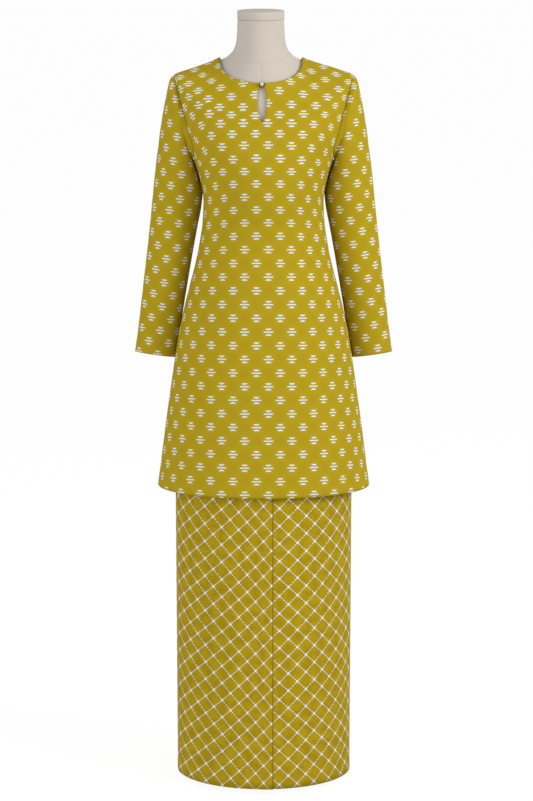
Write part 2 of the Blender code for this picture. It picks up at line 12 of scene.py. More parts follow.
import bmesh
import bpy
from mathutils import Matrix, Vector
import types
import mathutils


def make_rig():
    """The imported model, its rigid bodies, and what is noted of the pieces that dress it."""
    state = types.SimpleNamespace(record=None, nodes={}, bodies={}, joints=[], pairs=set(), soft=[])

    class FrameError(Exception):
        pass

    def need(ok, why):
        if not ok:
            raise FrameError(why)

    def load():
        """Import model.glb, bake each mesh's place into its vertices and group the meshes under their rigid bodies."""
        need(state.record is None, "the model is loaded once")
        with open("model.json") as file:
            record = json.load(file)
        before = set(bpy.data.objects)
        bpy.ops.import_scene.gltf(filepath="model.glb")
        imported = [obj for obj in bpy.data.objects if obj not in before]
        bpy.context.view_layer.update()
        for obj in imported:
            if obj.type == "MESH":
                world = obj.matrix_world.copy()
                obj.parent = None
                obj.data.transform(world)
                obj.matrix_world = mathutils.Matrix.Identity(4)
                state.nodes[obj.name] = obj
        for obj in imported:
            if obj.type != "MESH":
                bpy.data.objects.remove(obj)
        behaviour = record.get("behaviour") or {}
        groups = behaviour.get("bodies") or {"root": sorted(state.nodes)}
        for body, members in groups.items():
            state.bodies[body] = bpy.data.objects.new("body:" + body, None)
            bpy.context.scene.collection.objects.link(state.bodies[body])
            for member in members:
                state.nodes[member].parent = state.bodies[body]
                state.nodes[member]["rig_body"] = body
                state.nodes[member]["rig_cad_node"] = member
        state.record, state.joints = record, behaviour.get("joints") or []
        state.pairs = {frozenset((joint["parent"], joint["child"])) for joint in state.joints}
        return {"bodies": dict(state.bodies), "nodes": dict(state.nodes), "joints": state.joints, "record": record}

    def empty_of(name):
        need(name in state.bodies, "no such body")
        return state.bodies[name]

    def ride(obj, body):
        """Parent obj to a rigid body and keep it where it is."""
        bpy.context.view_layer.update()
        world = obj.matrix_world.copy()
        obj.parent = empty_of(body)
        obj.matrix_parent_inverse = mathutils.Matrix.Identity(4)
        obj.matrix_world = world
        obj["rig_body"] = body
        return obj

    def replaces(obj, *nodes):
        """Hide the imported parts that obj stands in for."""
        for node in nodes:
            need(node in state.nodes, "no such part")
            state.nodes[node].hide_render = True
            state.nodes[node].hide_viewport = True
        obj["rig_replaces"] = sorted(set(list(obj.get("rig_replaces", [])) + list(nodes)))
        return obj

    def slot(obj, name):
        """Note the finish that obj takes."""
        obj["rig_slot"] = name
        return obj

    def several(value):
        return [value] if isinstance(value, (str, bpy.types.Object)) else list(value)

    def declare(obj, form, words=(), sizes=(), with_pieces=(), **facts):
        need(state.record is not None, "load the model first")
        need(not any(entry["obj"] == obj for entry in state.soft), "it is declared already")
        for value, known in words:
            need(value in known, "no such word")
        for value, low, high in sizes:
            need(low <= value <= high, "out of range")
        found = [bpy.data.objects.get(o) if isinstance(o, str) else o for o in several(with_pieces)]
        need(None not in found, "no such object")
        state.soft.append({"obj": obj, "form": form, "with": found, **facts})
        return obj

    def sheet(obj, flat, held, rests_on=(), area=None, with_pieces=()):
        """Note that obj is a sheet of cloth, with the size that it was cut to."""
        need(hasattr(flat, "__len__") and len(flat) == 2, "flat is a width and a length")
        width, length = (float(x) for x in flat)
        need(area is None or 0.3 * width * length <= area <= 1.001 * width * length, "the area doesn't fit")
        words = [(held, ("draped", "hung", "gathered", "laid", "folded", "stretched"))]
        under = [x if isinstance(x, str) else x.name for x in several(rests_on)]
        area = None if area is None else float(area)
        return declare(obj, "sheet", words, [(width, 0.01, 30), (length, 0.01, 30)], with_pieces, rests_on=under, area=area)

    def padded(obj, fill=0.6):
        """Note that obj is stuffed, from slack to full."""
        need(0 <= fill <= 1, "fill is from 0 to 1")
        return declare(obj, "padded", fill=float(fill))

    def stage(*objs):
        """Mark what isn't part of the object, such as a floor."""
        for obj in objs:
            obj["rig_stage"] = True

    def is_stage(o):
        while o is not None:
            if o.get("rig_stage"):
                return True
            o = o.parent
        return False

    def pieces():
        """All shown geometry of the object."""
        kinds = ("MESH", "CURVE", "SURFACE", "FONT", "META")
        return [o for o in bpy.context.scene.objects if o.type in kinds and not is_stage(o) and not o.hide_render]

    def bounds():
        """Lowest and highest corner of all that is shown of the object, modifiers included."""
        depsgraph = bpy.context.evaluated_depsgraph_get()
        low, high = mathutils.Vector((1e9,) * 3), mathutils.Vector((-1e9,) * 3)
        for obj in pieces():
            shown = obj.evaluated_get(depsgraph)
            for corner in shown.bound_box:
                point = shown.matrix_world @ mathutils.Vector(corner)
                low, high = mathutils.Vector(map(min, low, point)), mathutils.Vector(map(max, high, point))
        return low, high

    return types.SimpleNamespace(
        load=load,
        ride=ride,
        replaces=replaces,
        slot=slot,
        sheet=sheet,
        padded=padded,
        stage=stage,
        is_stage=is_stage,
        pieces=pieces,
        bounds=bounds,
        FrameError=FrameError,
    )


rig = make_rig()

# ---------------------------------------------------------------- sizes shared with the part's source
CLOTH = 0.0013
FORM_CLEARANCE = 0.0035
ROUNDNESS = 2.1
BODY_COLUMNS = ("side_x", "side_y", "side_z", "front_y", "front_z", "back_y", "back_z",
                "droop", "front_edge", "back_edge")
BODY_ROWS = (
    (0.0780, 0.006, 1.4200, -0.0745, 1.3757, 0.0600, 1.4060, 0.69, 90, 90),
    (0.1000, 0.006, 1.4110, -0.0800, 1.3620, 0.0660, 1.3980, 0.80, 90, 90),
    (0.1230, 0.005, 1.4035, -0.0850, 1.3490, 0.0730, 1.3860, 1.00, 90, 90),
    (0.1460, 0.005, 1.3960, -0.0900, 1.3350, 0.0800, 1.3720, 1.15, 90, 90),
    (0.1675, 0.004, 1.3885, -0.0950, 1.3220, 0.0865, 1.3580, 1.30, 90, 90),
    (0.1690, 0.003, 1.3850, -0.0980, 1.3130, 0.0900, 1.3460, 1.40, 80, 82),
    (0.1685, 0.002, 1.3715, -0.1010, 1.3040, 0.0930, 1.3350, 1.50, 73, 76),
    (0.1655, 0.001, 1.3430, -0.1070, 1.2850, 0.0985, 1.3110, 1.70, 68, 72),
    (0.1595, 0.000, 1.3070, -0.1130, 1.2650, 0.1020, 1.2840, 2.00, 65, 69),
    (0.1480, -0.001, 1.2710, -0.1178, 1.2430, 0.1035, 1.2550, 2.00, 67, 70),
    (0.1370, -0.002, 1.2430, -0.1203, 1.2250, 0.1035, 1.2320, 2.00, 73, 75),
    (0.1340, -0.002, 1.2300, -0.1211, 1.2130, 0.1030, 1.2190, 2.00, 80, 81),
    (0.1320, -0.002, 1.2245, -0.1214, 1.2050, 0.1025, 1.2100, 2.00, 90, 90),
    (0.1205, -0.004, 1.1900, -0.1206, 1.1800, 0.0980, 1.1830, 2.00, 90, 90),
    (0.1141, -0.007, 1.1500, -0.1145, 1.1450, 0.0890, 1.1470, 2.00, 90, 90),
    (0.1158, -0.009, 1.1100, -0.1060, 1.1080, 0.0800, 1.1090, 2.00, 90, 90),
    (0.1216, -0.008, 1.0700, -0.1025, 1.0700, 0.0780, 1.0700, 2.00, 90, 90),
    (0.1296, -0.006, 1.0300, -0.1040, 1.0300, 0.0840, 1.0300, 2.00, 90, 90),
    (0.1453, -0.003, 0.9700, -0.1090, 0.9700, 0.0975, 0.9700, 2.00, 90, 90),
    (0.1615, 0.000, 0.9000, -0.1155, 0.9000, 0.1100, 0.9000, 2.00, 90, 90),
    (0.1745, 0.000, 0.8200, -0.1215, 0.8200, 0.1185, 0.8200, 2.00, 90, 90),
    (0.1861, 0.000, 0.7400, -0.1270, 0.7400, 0.1260, 0.7400, 2.00, 90, 90),
    (0.1969, 0.000, 0.6600, -0.1325, 0.6600, 0.1325, 0.6600, 2.00, 90, 90),
    (0.2055, 0.000, 0.5920, -0.1365, 0.5920, 0.1365, 0.5920, 2.00, 90, 90),
)
SHOULDER_ROW, UNDERARM_ROW, HEM_ROW = 4, 12, len(BODY_ROWS) - 1
LAST_FORM_ROW = 14
DART_ANGLE, DART_SPREAD, DART_DEPTH = 47, 11, 0.0020
DART_MIDDLE_Z, DART_HALF_HEIGHT = 1.115, 0.120
KEYHOLE_DROPS = (0.000, 0.004, 0.009, 0.015, 0.020, 0.026, 0.034, 0.042, 0.047, 0.058, 0.064, 0.069, 0.072)
KEYHOLE_HALF_WIDTHS = (0.0012, 0.0024, 0.0043, 0.0068, 0.0080, 0.0088, 0.0091, 0.0088, 0.0081, 0.0056,
                       0.0041, 0.0023, 0.0000)
KEYHOLE_REACH = 0.030
SKIRT_COLUMNS = ("z", "side_x", "side_y", "front_y", "back_y")
SKIRT_ROWS = (
    (1.078, 0.1115, -0.0115, -0.0970, 0.0740),
    (1.040, 0.1215, -0.009, -0.0980, 0.0785),
    (1.000, 0.1335, -0.005, -0.1005, 0.0865),
    (0.950, 0.1470, -0.002, -0.1058, 0.0975),
    (0.900, 0.1575, 0.000, -0.1100, 0.1055),
    (0.850, 0.1650, 0.000, -0.1140, 0.1115),
    (0.800, 0.1695, 0.000, -0.1170, 0.1160),
    (0.740, 0.1712, 0.000, -0.1205, 0.1200),
    (0.660, 0.1712, 0.000, -0.1235, 0.1235),
    (0.560, 0.1712, 0.000, -0.1260, 0.1260),
    (0.380, 0.1710, 0.000, -0.1290, 0.1290),
    (0.200, 0.1708, 0.000, -0.1315, 0.1315),
    (0.010, 0.1706, 0.000, -0.1330, 0.1330),
)
SKIRT_SEAM_ANGLE, LAP_ANGLE, LAP_RAMP = 3.2, 2.6, (8.0, 1.5)
LAP_RISE = CLOTH + 0.0005
BAND_HEIGHT, BAND_LIFT = 0.030, 0.0007
SLEEVE_COLUMNS = ("outer_x", "outer_z", "inner_x", "inner_z", "middle_y", "half_depth", "front_lift")
SLEEVE_ROWS = (
    (0.1772, 1.3799, 0.1352, 1.2209, -0.001, 0.0490, 0.0000),
    (0.1862, 1.3447, 0.1301, 1.2126, 0.003, 0.0520, 0.0000),
    (0.1953, 1.2973, 0.1245, 1.1971, 0.008, 0.0540, 0.0000),
    (0.2021, 1.2489, 0.1199, 1.1817, 0.012, 0.0540, 0.0000),
    (0.2080, 1.2064, 0.1168, 1.1642, 0.015, 0.0525, 0.0000),
    (0.2132, 1.1579, 0.1195, 1.1358, 0.017, 0.0495, 0.0002),
    (0.2188, 1.1053, 0.1275, 1.0953, 0.018, 0.0455, 0.0005),
    (0.2247, 1.0537, 0.1369, 1.0446, 0.018, 0.0415, 0.0009),
    (0.2312, 1.0016, 0.1461, 0.9925, 0.020, 0.0375, 0.0013),
    (0.2377, 0.9493, 0.1550, 0.9403, 0.022, 0.0340, 0.0017),
    (0.2441, 0.8980, 0.1632, 0.8899, 0.024, 0.0305, 0.0021),
    (0.2507, 0.8507, 0.1723, 0.8396, 0.025, 0.0280, 0.0025),
)
SEAM_RISE, SEAM_INSET = CLOTH - 0.0001, 0.0002
BESIDE_EDGE, BESIDE_ROW = 0.96, 0.2  # where, beside the armhole, the way that the cloth faces is taken
FORM_NECK_ROWS = (
    (0.0440, -0.010, 1.4925, -0.0585, 1.4900, 0.0385, 1.4950, 1.0),
    (0.0449, -0.009, 1.4690, -0.0585, 1.4640, 0.0405, 1.4730, 1.0),
    (0.0470, -0.006, 1.4480, -0.0590, 1.4400, 0.0425, 1.4530, 1.0),
    (0.0510, -0.003, 1.4365, -0.0600, 1.4220, 0.0450, 1.4400, 1.0),
    (0.0582, 0.001, 1.4270, -0.0625, 1.4050, 0.0485, 1.4280, 0.9),
    (0.0665, 0.004, 1.4200, -0.0665, 1.3880, 0.0530, 1.4150, 0.75),
)
FORM_HIP_ROWS = (
    (0.1085, -0.011, 1.1100, -0.0950, 1.1100, 0.0720, 1.1100, 2.0),
    (0.1085, -0.011, 1.0700, -0.0935, 1.0700, 0.0710, 1.0700, 2.0),
    (0.1190, -0.007, 1.0300, -0.0950, 1.0300, 0.0770, 1.0300, 2.0),
    (0.1340, -0.003, 0.9700, -0.0990, 0.9700, 0.0900, 0.9700, 2.0),
    (0.1465, 0.000, 0.9000, -0.1040, 0.9000, 0.1010, 0.9000, 2.0),
    (0.1510, 0.000, 0.8400, -0.1060, 0.8400, 0.1060, 0.8400, 2.0),
    (0.1480, 0.000, 0.7900, -0.1030, 0.7900, 0.1050, 0.7900, 2.0),
    (0.1400, 0.000, 0.7600, -0.0960, 0.7600, 0.0980, 0.7600, 2.0),
    (0.1300, 0.000, 0.7500, -0.0870, 0.7500, 0.0890, 0.7500, 2.0),
)
LEAN_HEIGHTS, LEAN = (1.240, 1.300, 1.376, 1.420), (0.0, -0.0019, -0.0032, -0.0050)
LEAN_FADE = (0.070, 0.135)
CAP_HALF_WIDTH, CAP_HALF_DEPTH, CAP_HEIGHT = 0.0446, 0.0490, 0.0155
CAP_INSETS = (0.175, 0.175, 0.2)  # the steps in from the cap's rim up its dome, in shares of its half width
CAP_TILT, CAP_BEVEL, CAP_DOME, CAP_GAP = math.radians(2.95), 0.0012, 0.0014, 0.0003
BUTTON_RADIUS, BUTTON_LEVEL, LOOP_RADIUS, LOOP_CORD_RADIUS, BUTTON_AIR = 0.0040, 0.27, 0.0050, 0.0007, 0.0006
STRAND_RADIUS, STRAND_OFFSET = LOOP_CORD_RADIUS * 0.55, 0.00036
LOOP_POINTS, LOOP_TWISTS = 144, 14
CHEST_TILT = math.radians(68)

# ---------------------------------------------------------------- how finely each sheet is laid
FRONT_HALF_COLUMNS, BACK_SHEET_COLUMNS = 62, 112
ROWS_PER_YOKE, ROWS_PER_ARMHOLE, ROWS_PER_BODY = 6, 7, 14
SLEEVE_AROUND, SLEEVE_ROWS_PER_STEP = 96, 11
SKIRT_ROWS_PER_STEP = 13
RIGHT_PANEL_COLUMNS, LEFT_PANEL_COLUMNS, BACK_PANEL_COLUMNS = 62, 60, 110
LAP_RAMP_COLUMNS, LAP_COLUMNS = 6, 4
SKIRT_SIDE = 90 - 0.02  # degrees from the centre to the side seam, a hair short of it
WAISTBAND_COLUMNS, WAISTBAND_ROWS = 144, 6
FORM_SHEET_COLUMNS, FORM_ROWS_PER_STEP = 144, 8
WELD = 0.00005  # points nearer than this are joined

# ---------------------------------------------------------------- threads, hems and seams
UP = Vector((0, 0, 1))
YOKE_TILT = math.radians(28)  # the grain's way up on the yoke, which lies back over the shoulders
SLEEVE_LEAN = Vector((-0.13, 0.03, 1.0)).normalized()  # the way up the upper arm of +X
SLEEVE_HEAD_ROWS = 16  # how many rings from the armhole lean too far to be unrolled along themselves
TURN_REACH = 3  # rows and columns over which the figures' turns are evened out
# beside the wearer's right armhole the figures lean, and low down they lean more and are squeezed
FIGURE_LEAN, STEEP_LEAN, STEEP_SQUEEZE = 12, 36, 0.35
TUNIC_LAYERS = ("cloth", "print", "turn_across", "turn_up")
STRAIGHT = ((1.0, 0.0), (0.0, 1.0))  # what the last two layers hold where the figures just follow the print
SKIRT_LAYERS = ("cloth", "print", "seams")
FAR_FROM_LAP = 1.0  # what the seams layer holds, across, on a piece without the lap
HEM_DEPTH, HEM_SLOPE = 0.026, 0.0035  # the height of a turned hem, and of the slope above it
HEM_RISE, CUFF_RISE = 0.00035, 0.0003  # how far the doubled cloth stands out
SIDE_SEAM_SINK, SIDE_SEAM_START = 0.0007, 0.955  # how deep a seam draws the cloth in, and from what share
ARMHOLE_SEAM_SINK, ARMHOLE_SEAM_START = 0.0009, 0.94
SLEEVE_HEAD_SINK, UNDERARM_SEAM_SINK, PANEL_EDGE_SINK = 0.0008, 0.0006, 0.0004
TOP_SINK = 0.35  # the share of its depth that the armhole's seam keeps at the shoulder
# the form's neck seam, as the number of its row at degrees from the centre front
NECK_SEAM = ((0, 3.66), (32, 3.62), (54, 3.58), (75, 3.42), (110, 3.40), (180, 3.60))
NECK_SEAM_SINK, TORSO_SEAM_SINK, SEAM_WIDTH = 0.0006, 0.0005, 0.0016

# ---------------------------------------------------------------- how the prints lie on the cloth
PRINT_SHIFT = 0.0095  # the motif column beside the centre front stands this far from it
# On the tunic's front, how far the print's rows lie below the threads' level lines:
YOKE_DROP = 0.025  # at the top of the yoke
KEYHOLE_STEP = 0.010  # and farther on the wearer's right of the keyhole, at the neckline
SIDE_DROP, HEM_SIDE_DROP = 0.030, 0.015  # and farther at the sides than at the centre, above and at the hem
HIP_RISE = 0.007  # but less over the hips
# how far its columns lie to the wearer's right of the threads:
RIGHT_ASIDE = -0.015  # at the wearer's right side
LEFT_ASIDE = 0.030  # at the wearer's left side, below the yoke
# On each sleeve, what is added to the cloth's coordinates to give the print's: across and up at the top line
# of the cuff, across and up again for each metre up the sleeve, and across for each metre round the front.
SLEEVE_PRINT_COLUMNS = ("cuff_across", "cuff_up", "rise_across", "rise_up", "round_across")
LEFT_SLEEVE_PRINT = (0.055, -0.015, 0.07, 0.12, -0.12)
RIGHT_SLEEVE_PRINT = (-0.035, -0.030, -0.02, 0.10, 0.15)
SLEEVE_FRONT_WIDTH = 0.12  # farther round than this, no more is added
SLEEVE_FIGURE_WIDTH = 0.88
LATTICE_HEIGHT = 0.3  # where the lattice's lines are counted from
LATTICE_UP = 2.9  # lines of one family for each decimetre up the cloth
# For each panel, where the two families start at the middle of the front or the back, their lines for each
# decimetre across, and half of what that number gains for each decimetre to the wearer's left.
RIGHT_LATTICE = {"starts": (4.7, -1.7), "across": (3.0, 3.5), "spread": 0.25}
LEFT_LATTICE = {"starts": (1.7, -5.4), "across": (2.8, 2.8), "spread": 0.0}
BACK_LATTICE = {"starts": (0.0, 0.0), "across": (2.9, 2.9), "spread": 0.0}


# ---------------------------------------------------------------- tables and sections
@functools.lru_cache(maxsize=None)
def slopes(values):
    """The slope at each value of a list, level where the list turns."""
    steps = [b - a for a, b in zip(values, values[1:])]
    pairs = zip([steps[0]] + steps, steps + [steps[-1]])
    return [0.0 if a * b <= 0 else 2 * a * b / (a + b) for a, b in pairs]


def between(values, level):
    """A smooth value at a fractional row number, which never overshoots the two rows it lies between."""
    i = min(max(int(level), 0), len(values) - 2)
    t = level - i
    slope = slopes(values)
    return (values[i] * (1 + 2 * t) * (1 - t) ** 2 + slope[i] * t * (1 - t) ** 2
            + values[i + 1] * t * t * (3 - 2 * t) - slope[i + 1] * t * t * (1 - t))


def columns_of(rows):
    """The columns of a table as hashable lists."""
    return [tuple(column) for column in zip(*rows)]


def named(rows, names, level):
    """The named values of a table at a fractional row number."""
    return {name: between(column, level) for name, column in zip(names, columns_of(rows))}


@functools.lru_cache(maxsize=None)
def body_row(level):
    """The tunic's section at a fractional row number."""
    return named(BODY_ROWS, BODY_COLUMNS, level)


@functools.lru_cache(maxsize=None)
def skirt_row(level):
    """The skirt's section at a fractional row number."""
    return named(SKIRT_ROWS, SKIRT_COLUMNS, level)


def smooth_step(low, high, x):
    """0 below low, 1 above high, and a smooth rise between them."""
    t = min(max((x - low) / (high - low), 0.0), 1.0)
    return t * t * (3 - 2 * t)


def bump_at(x, middle, width):
    """A bell of height 1 round the middle."""
    return math.exp(-((x - middle) / width) ** 2)


def spread(start, end, count):
    """count + 1 evenly spaced angles from start to end."""
    return [start + (end - start) * k / count for k in range(count + 1)]


def keyhole_half_width(drop):
    """Half the keyhole's width at a drop below the neckline, on one smooth curve."""
    if drop >= KEYHOLE_DROPS[-1]:
        return 0.0
    i = max(bisect.bisect_right(KEYHOLE_DROPS, drop) - 1, 0)
    t = (drop - KEYHOLE_DROPS[i]) / (KEYHOLE_DROPS[i + 1] - KEYHOLE_DROPS[i])
    return between(KEYHOLE_HALF_WIDTHS, i + max(t, 0.0))


def curve_value(points, x):
    """Straight-line value of a list of (x, y) points."""
    i = min(max(bisect.bisect_left([p[0] for p in points], x), 1), len(points) - 1)
    (x0, y0), (x1, y1) = points[i - 1], points[i]
    return y0 + (y1 - y0) * (x - x0) / (x1 - x0)


def leaned(point):
    """A point of the tunic or the form, moved by the lean of the neck and the yoke."""
    z = min(max(point.z, LEAN_HEIGHTS[0]), LEAN_HEIGHTS[-1])
    k = min(bisect.bisect_right(LEAN_HEIGHTS, z), len(LEAN) - 1)
    t = (z - LEAN_HEIGHTS[k - 1]) / (LEAN_HEIGHTS[k] - LEAN_HEIGHTS[k - 1])
    point.x += (LEAN[k - 1] + (LEAN[k] - LEAN[k - 1]) * t) * (1 - smooth_step(*LEAN_FADE, abs(point.x)))
    return point


def section_point(row, angle, back=False):
    """A point of a row, angle degrees from the centre front, or from the centre back, to +X."""
    s, c = math.sin(math.radians(angle)), max(math.cos(math.radians(angle)), 0.0)
    centre_y, centre_z = (row["back_y"], row["back_z"]) if back else (row["front_y"], row["front_z"])
    power = 2 / ROUNDNESS
    return Vector((
        math.copysign(abs(s) ** power, s) * row["side_x"],
        row["side_y"] + (centre_y - row["side_y"]) * c ** power,
        row["side_z"] + (centre_z - row["side_z"]) * c ** row["droop"],
    ))


def tunic_point(level, share, back=False):
    """A point of the tunic's inner surface. share runs from -1 to 1 across the front, or the back, panel."""
    row = body_row(level)
    angle = share * row["back_edge" if back else "front_edge"]
    point = section_point(row, angle, back)
    height = (point.z - DART_MIDDLE_Z) / DART_HALF_HEIGHT
    if abs(height) < 1:
        depth = DART_DEPTH * bump_at(abs(angle), DART_ANGLE, DART_SPREAD)
        depth *= math.cos(height * math.pi / 2) ** 2
        point += (Vector((0.0, row["side_y"], point.z)) - point).normalized() * depth
    return leaned(point)


def pushed_share(level, share, gap):
    """The share at which a thread stands when it is pushed aside by gap at the centre front."""
    row = body_row(level)
    x = section_point(row, share * row["front_edge"]).x
    if not gap or abs(x) >= KEYHOLE_REACH:
        return share
    x += gap * (1 - abs(x) / KEYHOLE_REACH)
    angle = math.degrees(math.asin(min(abs(x) / row["side_x"], 1.0) ** (ROUNDNESS / 2)))
    return math.copysign(angle, x) / row["front_edge"]


# ---------------------------------------------------------------- cloth coordinates
def unroll(points, middle, ups):
    """Cloth coordinates, in metres, of a grid of points: rows from the top, columns from left to right as
    seen from outside. u is 0 on the middle column, and v rises up it from 0 at its last row. Off it, each
    step is split along the cloth's level and steepest lines, from ups, a direction for each row."""
    rows, columns = len(points), len(points[0])
    rise = [0.0] * rows
    for j in range(rows - 2, -1, -1):
        rise[j] = rise[j + 1] + (points[j][middle] - points[j + 1][middle]).length
    chart = []
    for j, row in enumerate(points):
        other = points[j + 1] if j + 1 < rows else points[j - 1]
        flip = 1 if j + 1 < rows else -1
        line = [(0.0, 0.0)] * columns
        for way in (1, -1):
            u, v = 0.0, rise[j]
            line[middle] = (u, v)
            i = middle
            while 0 <= i + way < columns:
                step = row[i + way] - row[i]
                down = (other[i] - row[i] + other[i + way] - row[i + way]) * flip
                normal = down.cross(step * way).normalized()
                level = ups[j].cross(normal).normalized()
                steep = normal.cross(level)
                u += step.dot(level)
                v += step.dot(steep)
                i += way
                line[i] = (u, v)
        chart.append(line)
    return chart


def chart_at(line, shares, share):
    """Cloth coordinates at a share between those of a row's list."""
    i = min(max(bisect.bisect_right(shares, share) - 1, 0), len(shares) - 2)
    t = (share - shares[i]) / (shares[i + 1] - shares[i])
    (u0, v0), (u1, v1) = line[i], line[i + 1]
    return u0 + (u1 - u0) * t, v0 + (v1 - v0) * t


def tunic_levels():
    """Row numbers at which the tunic's sheets are laid, from the neckline to the hem."""
    stretches = ((0, SHOULDER_ROW, ROWS_PER_YOKE), (SHOULDER_ROW, UNDERARM_ROW, ROWS_PER_ARMHOLE),
                 (UNDERARM_ROW, HEM_ROW, ROWS_PER_BODY))
    levels = [start + k / fine for start, end, fine in stretches for k in range((end - start) * fine)]
    return levels + [float(HEM_ROW)]


def tunic_grain(level, back=False):
    """The direction that the tunic's threads rise in at a row."""
    tilt = YOKE_TILT * (1 - smooth_step(3.0, 9.0, level)) * (-1 if back else 1)
    return Vector((0, math.sin(tilt), math.cos(tilt)))


def print_slip(level, share, side):
    """How far the print lies to the wearer's right of the threads, and how far below them, at a place on the
    half of the front that side names."""
    yoke = smooth_step(9.0, 3.0, level)
    low = smooth_step(13.0, 18.0, level)
    edge = share * share
    down = YOKE_DROP * yoke - HIP_RISE * smooth_step(9.0, 15.0, level)
    down += (SIDE_DROP + (HEM_SIDE_DROP - SIDE_DROP) * low) * edge
    if side < 0:
        return RIGHT_ASIDE * edge, down + KEYHOLE_STEP * smooth_step(6.5, 1.5, level)
    return LEFT_ASIDE * edge * smooth_step(4.0, 11.0, level), down


def armhole_loop(step):
    """Points round the armhole of +X, down its front edge and up its back edge, each with the way the cloth
    faces there and the way into the opening."""
    count = round((UNDERARM_ROW - SHOULDER_ROW) / step)
    levels = [SHOULDER_ROW + k * step for k in range(count + 1)]
    stations = [(level, False) for level in levels] + [(level, True) for level in levels[-2:0:-1]]
    points = [tunic_point(level, 1.0, back) for level, back in stations]
    loop = []
    for k, (level, back) in enumerate(stations):
        across = points[k] - tunic_point(level, BESIDE_EDGE, back)
        above, below = (tunic_point(level + step, BESIDE_EDGE, back) for step in (-BESIDE_ROW, BESIDE_ROW))
        down = below - above
        facing = across.cross(down).normalized() * (1 if back else -1)
        along = points[(k + 1) % len(points)] - points[k - 1]
        loop.append((points[k], facing, facing.cross(along).normalized()))
    return loop


def sleeve_rings(step, levels):
    """Rings of the outer surface of +X's sleeve at these levels, where 0 is the armhole and each whole
    number is a row of SLEEVE_ROWS. Each ring starts at the shoulder and goes down the front."""
    first = [point + facing * SEAM_RISE + into * SEAM_INSET for point, facing, into in armhole_loop(step)]
    lengths = [(b - a).length for a, b in zip(first, first[1:] + first[:1])]
    half = len(first) // 2
    front, back = sum(lengths[:half]), sum(lengths[half:])
    turns, run = [], 0.0
    for k, length in enumerate(lengths):
        turns.append(math.pi * (run / front if k < half else 1 + (run - front) / back))
        run += length
    tracks = []
    for k, turn in enumerate(turns):
        track = [first[k]]
        for values in SLEEVE_ROWS:
            row = dict(zip(SLEEVE_COLUMNS, values))
            outer_x, outer_z = row["outer_x"], row["outer_z"]
            inner_x, inner_z = row["inner_x"], row["inner_z"]
            middle = Vector(((outer_x + inner_x) / 2, row["middle_y"], (outer_z + inner_z) / 2))
            reach = Vector(((outer_x - inner_x) / 2, 0.0, (outer_z - inner_z) / 2))
            forward = Vector((0, -row["half_depth"], row["front_lift"]))
            track.append(middle + reach * math.cos(turn) + forward * math.sin(turn))
        tracks.append([tuple(axis) for axis in zip(*track)])
    return [[Vector([between(axis, level) for axis in track]) for track in tracks] for level in levels]


def skirt_point(level, angle, rise=0.0):
    """A point of the skirt's inner surface, angle degrees from the centre front to +X, round to 360."""
    row = skirt_row(level)
    s, c = math.sin(math.radians(angle)), math.cos(math.radians(angle))
    half_depth = row["side_y"] - row["front_y"] if c >= 0 else row["back_y"] - row["side_y"]
    return Vector((s * (row["side_x"] + rise), row["side_y"] - c * (half_depth + rise), row["z"]))


@functools.lru_cache(maxsize=None)
def form_table():
    """The form's rows, top first: the neck, the tunic's upper rows drawn in, and the hips."""
    drawn_in = {"side_x": -FORM_CLEARANCE, "side_z": -FORM_CLEARANCE, "front_y": FORM_CLEARANCE,
                "back_y": -FORM_CLEARANCE}
    body = [tuple(value + drawn_in.get(name, 0) for name, value in zip(BODY_COLUMNS, row))
            for row in BODY_ROWS[:LAST_FORM_ROW + 1]]
    neck, hips = ([row + (90, 90) for row in rows] for rows in (FORM_NECK_ROWS, FORM_HIP_ROWS))
    return (*neck, *body, *hips)


@functools.lru_cache(maxsize=None)
def form_row(level):
    """The form's section at a fractional row number."""
    return named(form_table(), BODY_COLUMNS, level)


def form_point(level, angle):
    """A point of the form, angle degrees from the centre front to +X, round to 360."""
    angle = (angle + 180) % 360 - 180
    back = abs(angle) > 90
    if back:
        angle = math.copysign(180 - abs(angle), angle)
    return leaned(section_point(form_row(level), angle, back))


# ---------------------------------------------------------------- sheets of cloth
class Pattern:
    """A cloth piece's surface as rows of points from the top, columns from left to right as seen from
    outside, with the cloth coordinates and the outward normal of each."""

    def __init__(self, points, middle, ups):
        self.points, self.ups = points, ups
        self.chart = unroll(points, middle, ups)
        rows, columns = len(points), len(points[0])
        self.normals = []
        for j in range(rows):
            above, below = points[max(j - 1, 0)], points[min(j + 1, rows - 1)]
            line = []
            for i in range(columns):
                right = points[j][min(i + 1, columns - 1)] - points[j][max(i - 1, 0)]
                line.append((below[i] - above[i]).cross(right).normalized())
            self.normals.append(line)

    def axes(self, row, column):
        """The cloth's own way across and way up at a point."""
        normal = self.normals[row][column]
        up = (self.ups[row] - normal * self.ups[row].dot(normal)).normalized()
        return up.cross(normal), up


def lay_sheet(bm, columns, rows, place, layers=("cloth",)):
    """Adds a grid whose corner (i, j) is put at the point that place(i, j) gives, with its coordinates in
    each UV layer. i runs from left to right as seen from outside, and j from the bottom up."""
    uv_layers = [bm.loops.layers.uv.get(name) or bm.loops.layers.uv.new(name) for name in layers]
    verts = bmesh.ops.create_grid(bm, x_segments=columns, y_segments=rows, size=0.5)["verts"]
    spots = {}
    for vert in verts:
        vert.co, *spots[vert] = place(round((vert.co.x + 0.5) * columns), round((vert.co.y + 0.5) * rows))
    for face in {face for vert in verts for face in vert.link_faces}:
        for loop in face.loops:
            for layer, spot in zip(uv_layers, spots[loop.vert]):
                loop[layer].uv = spot


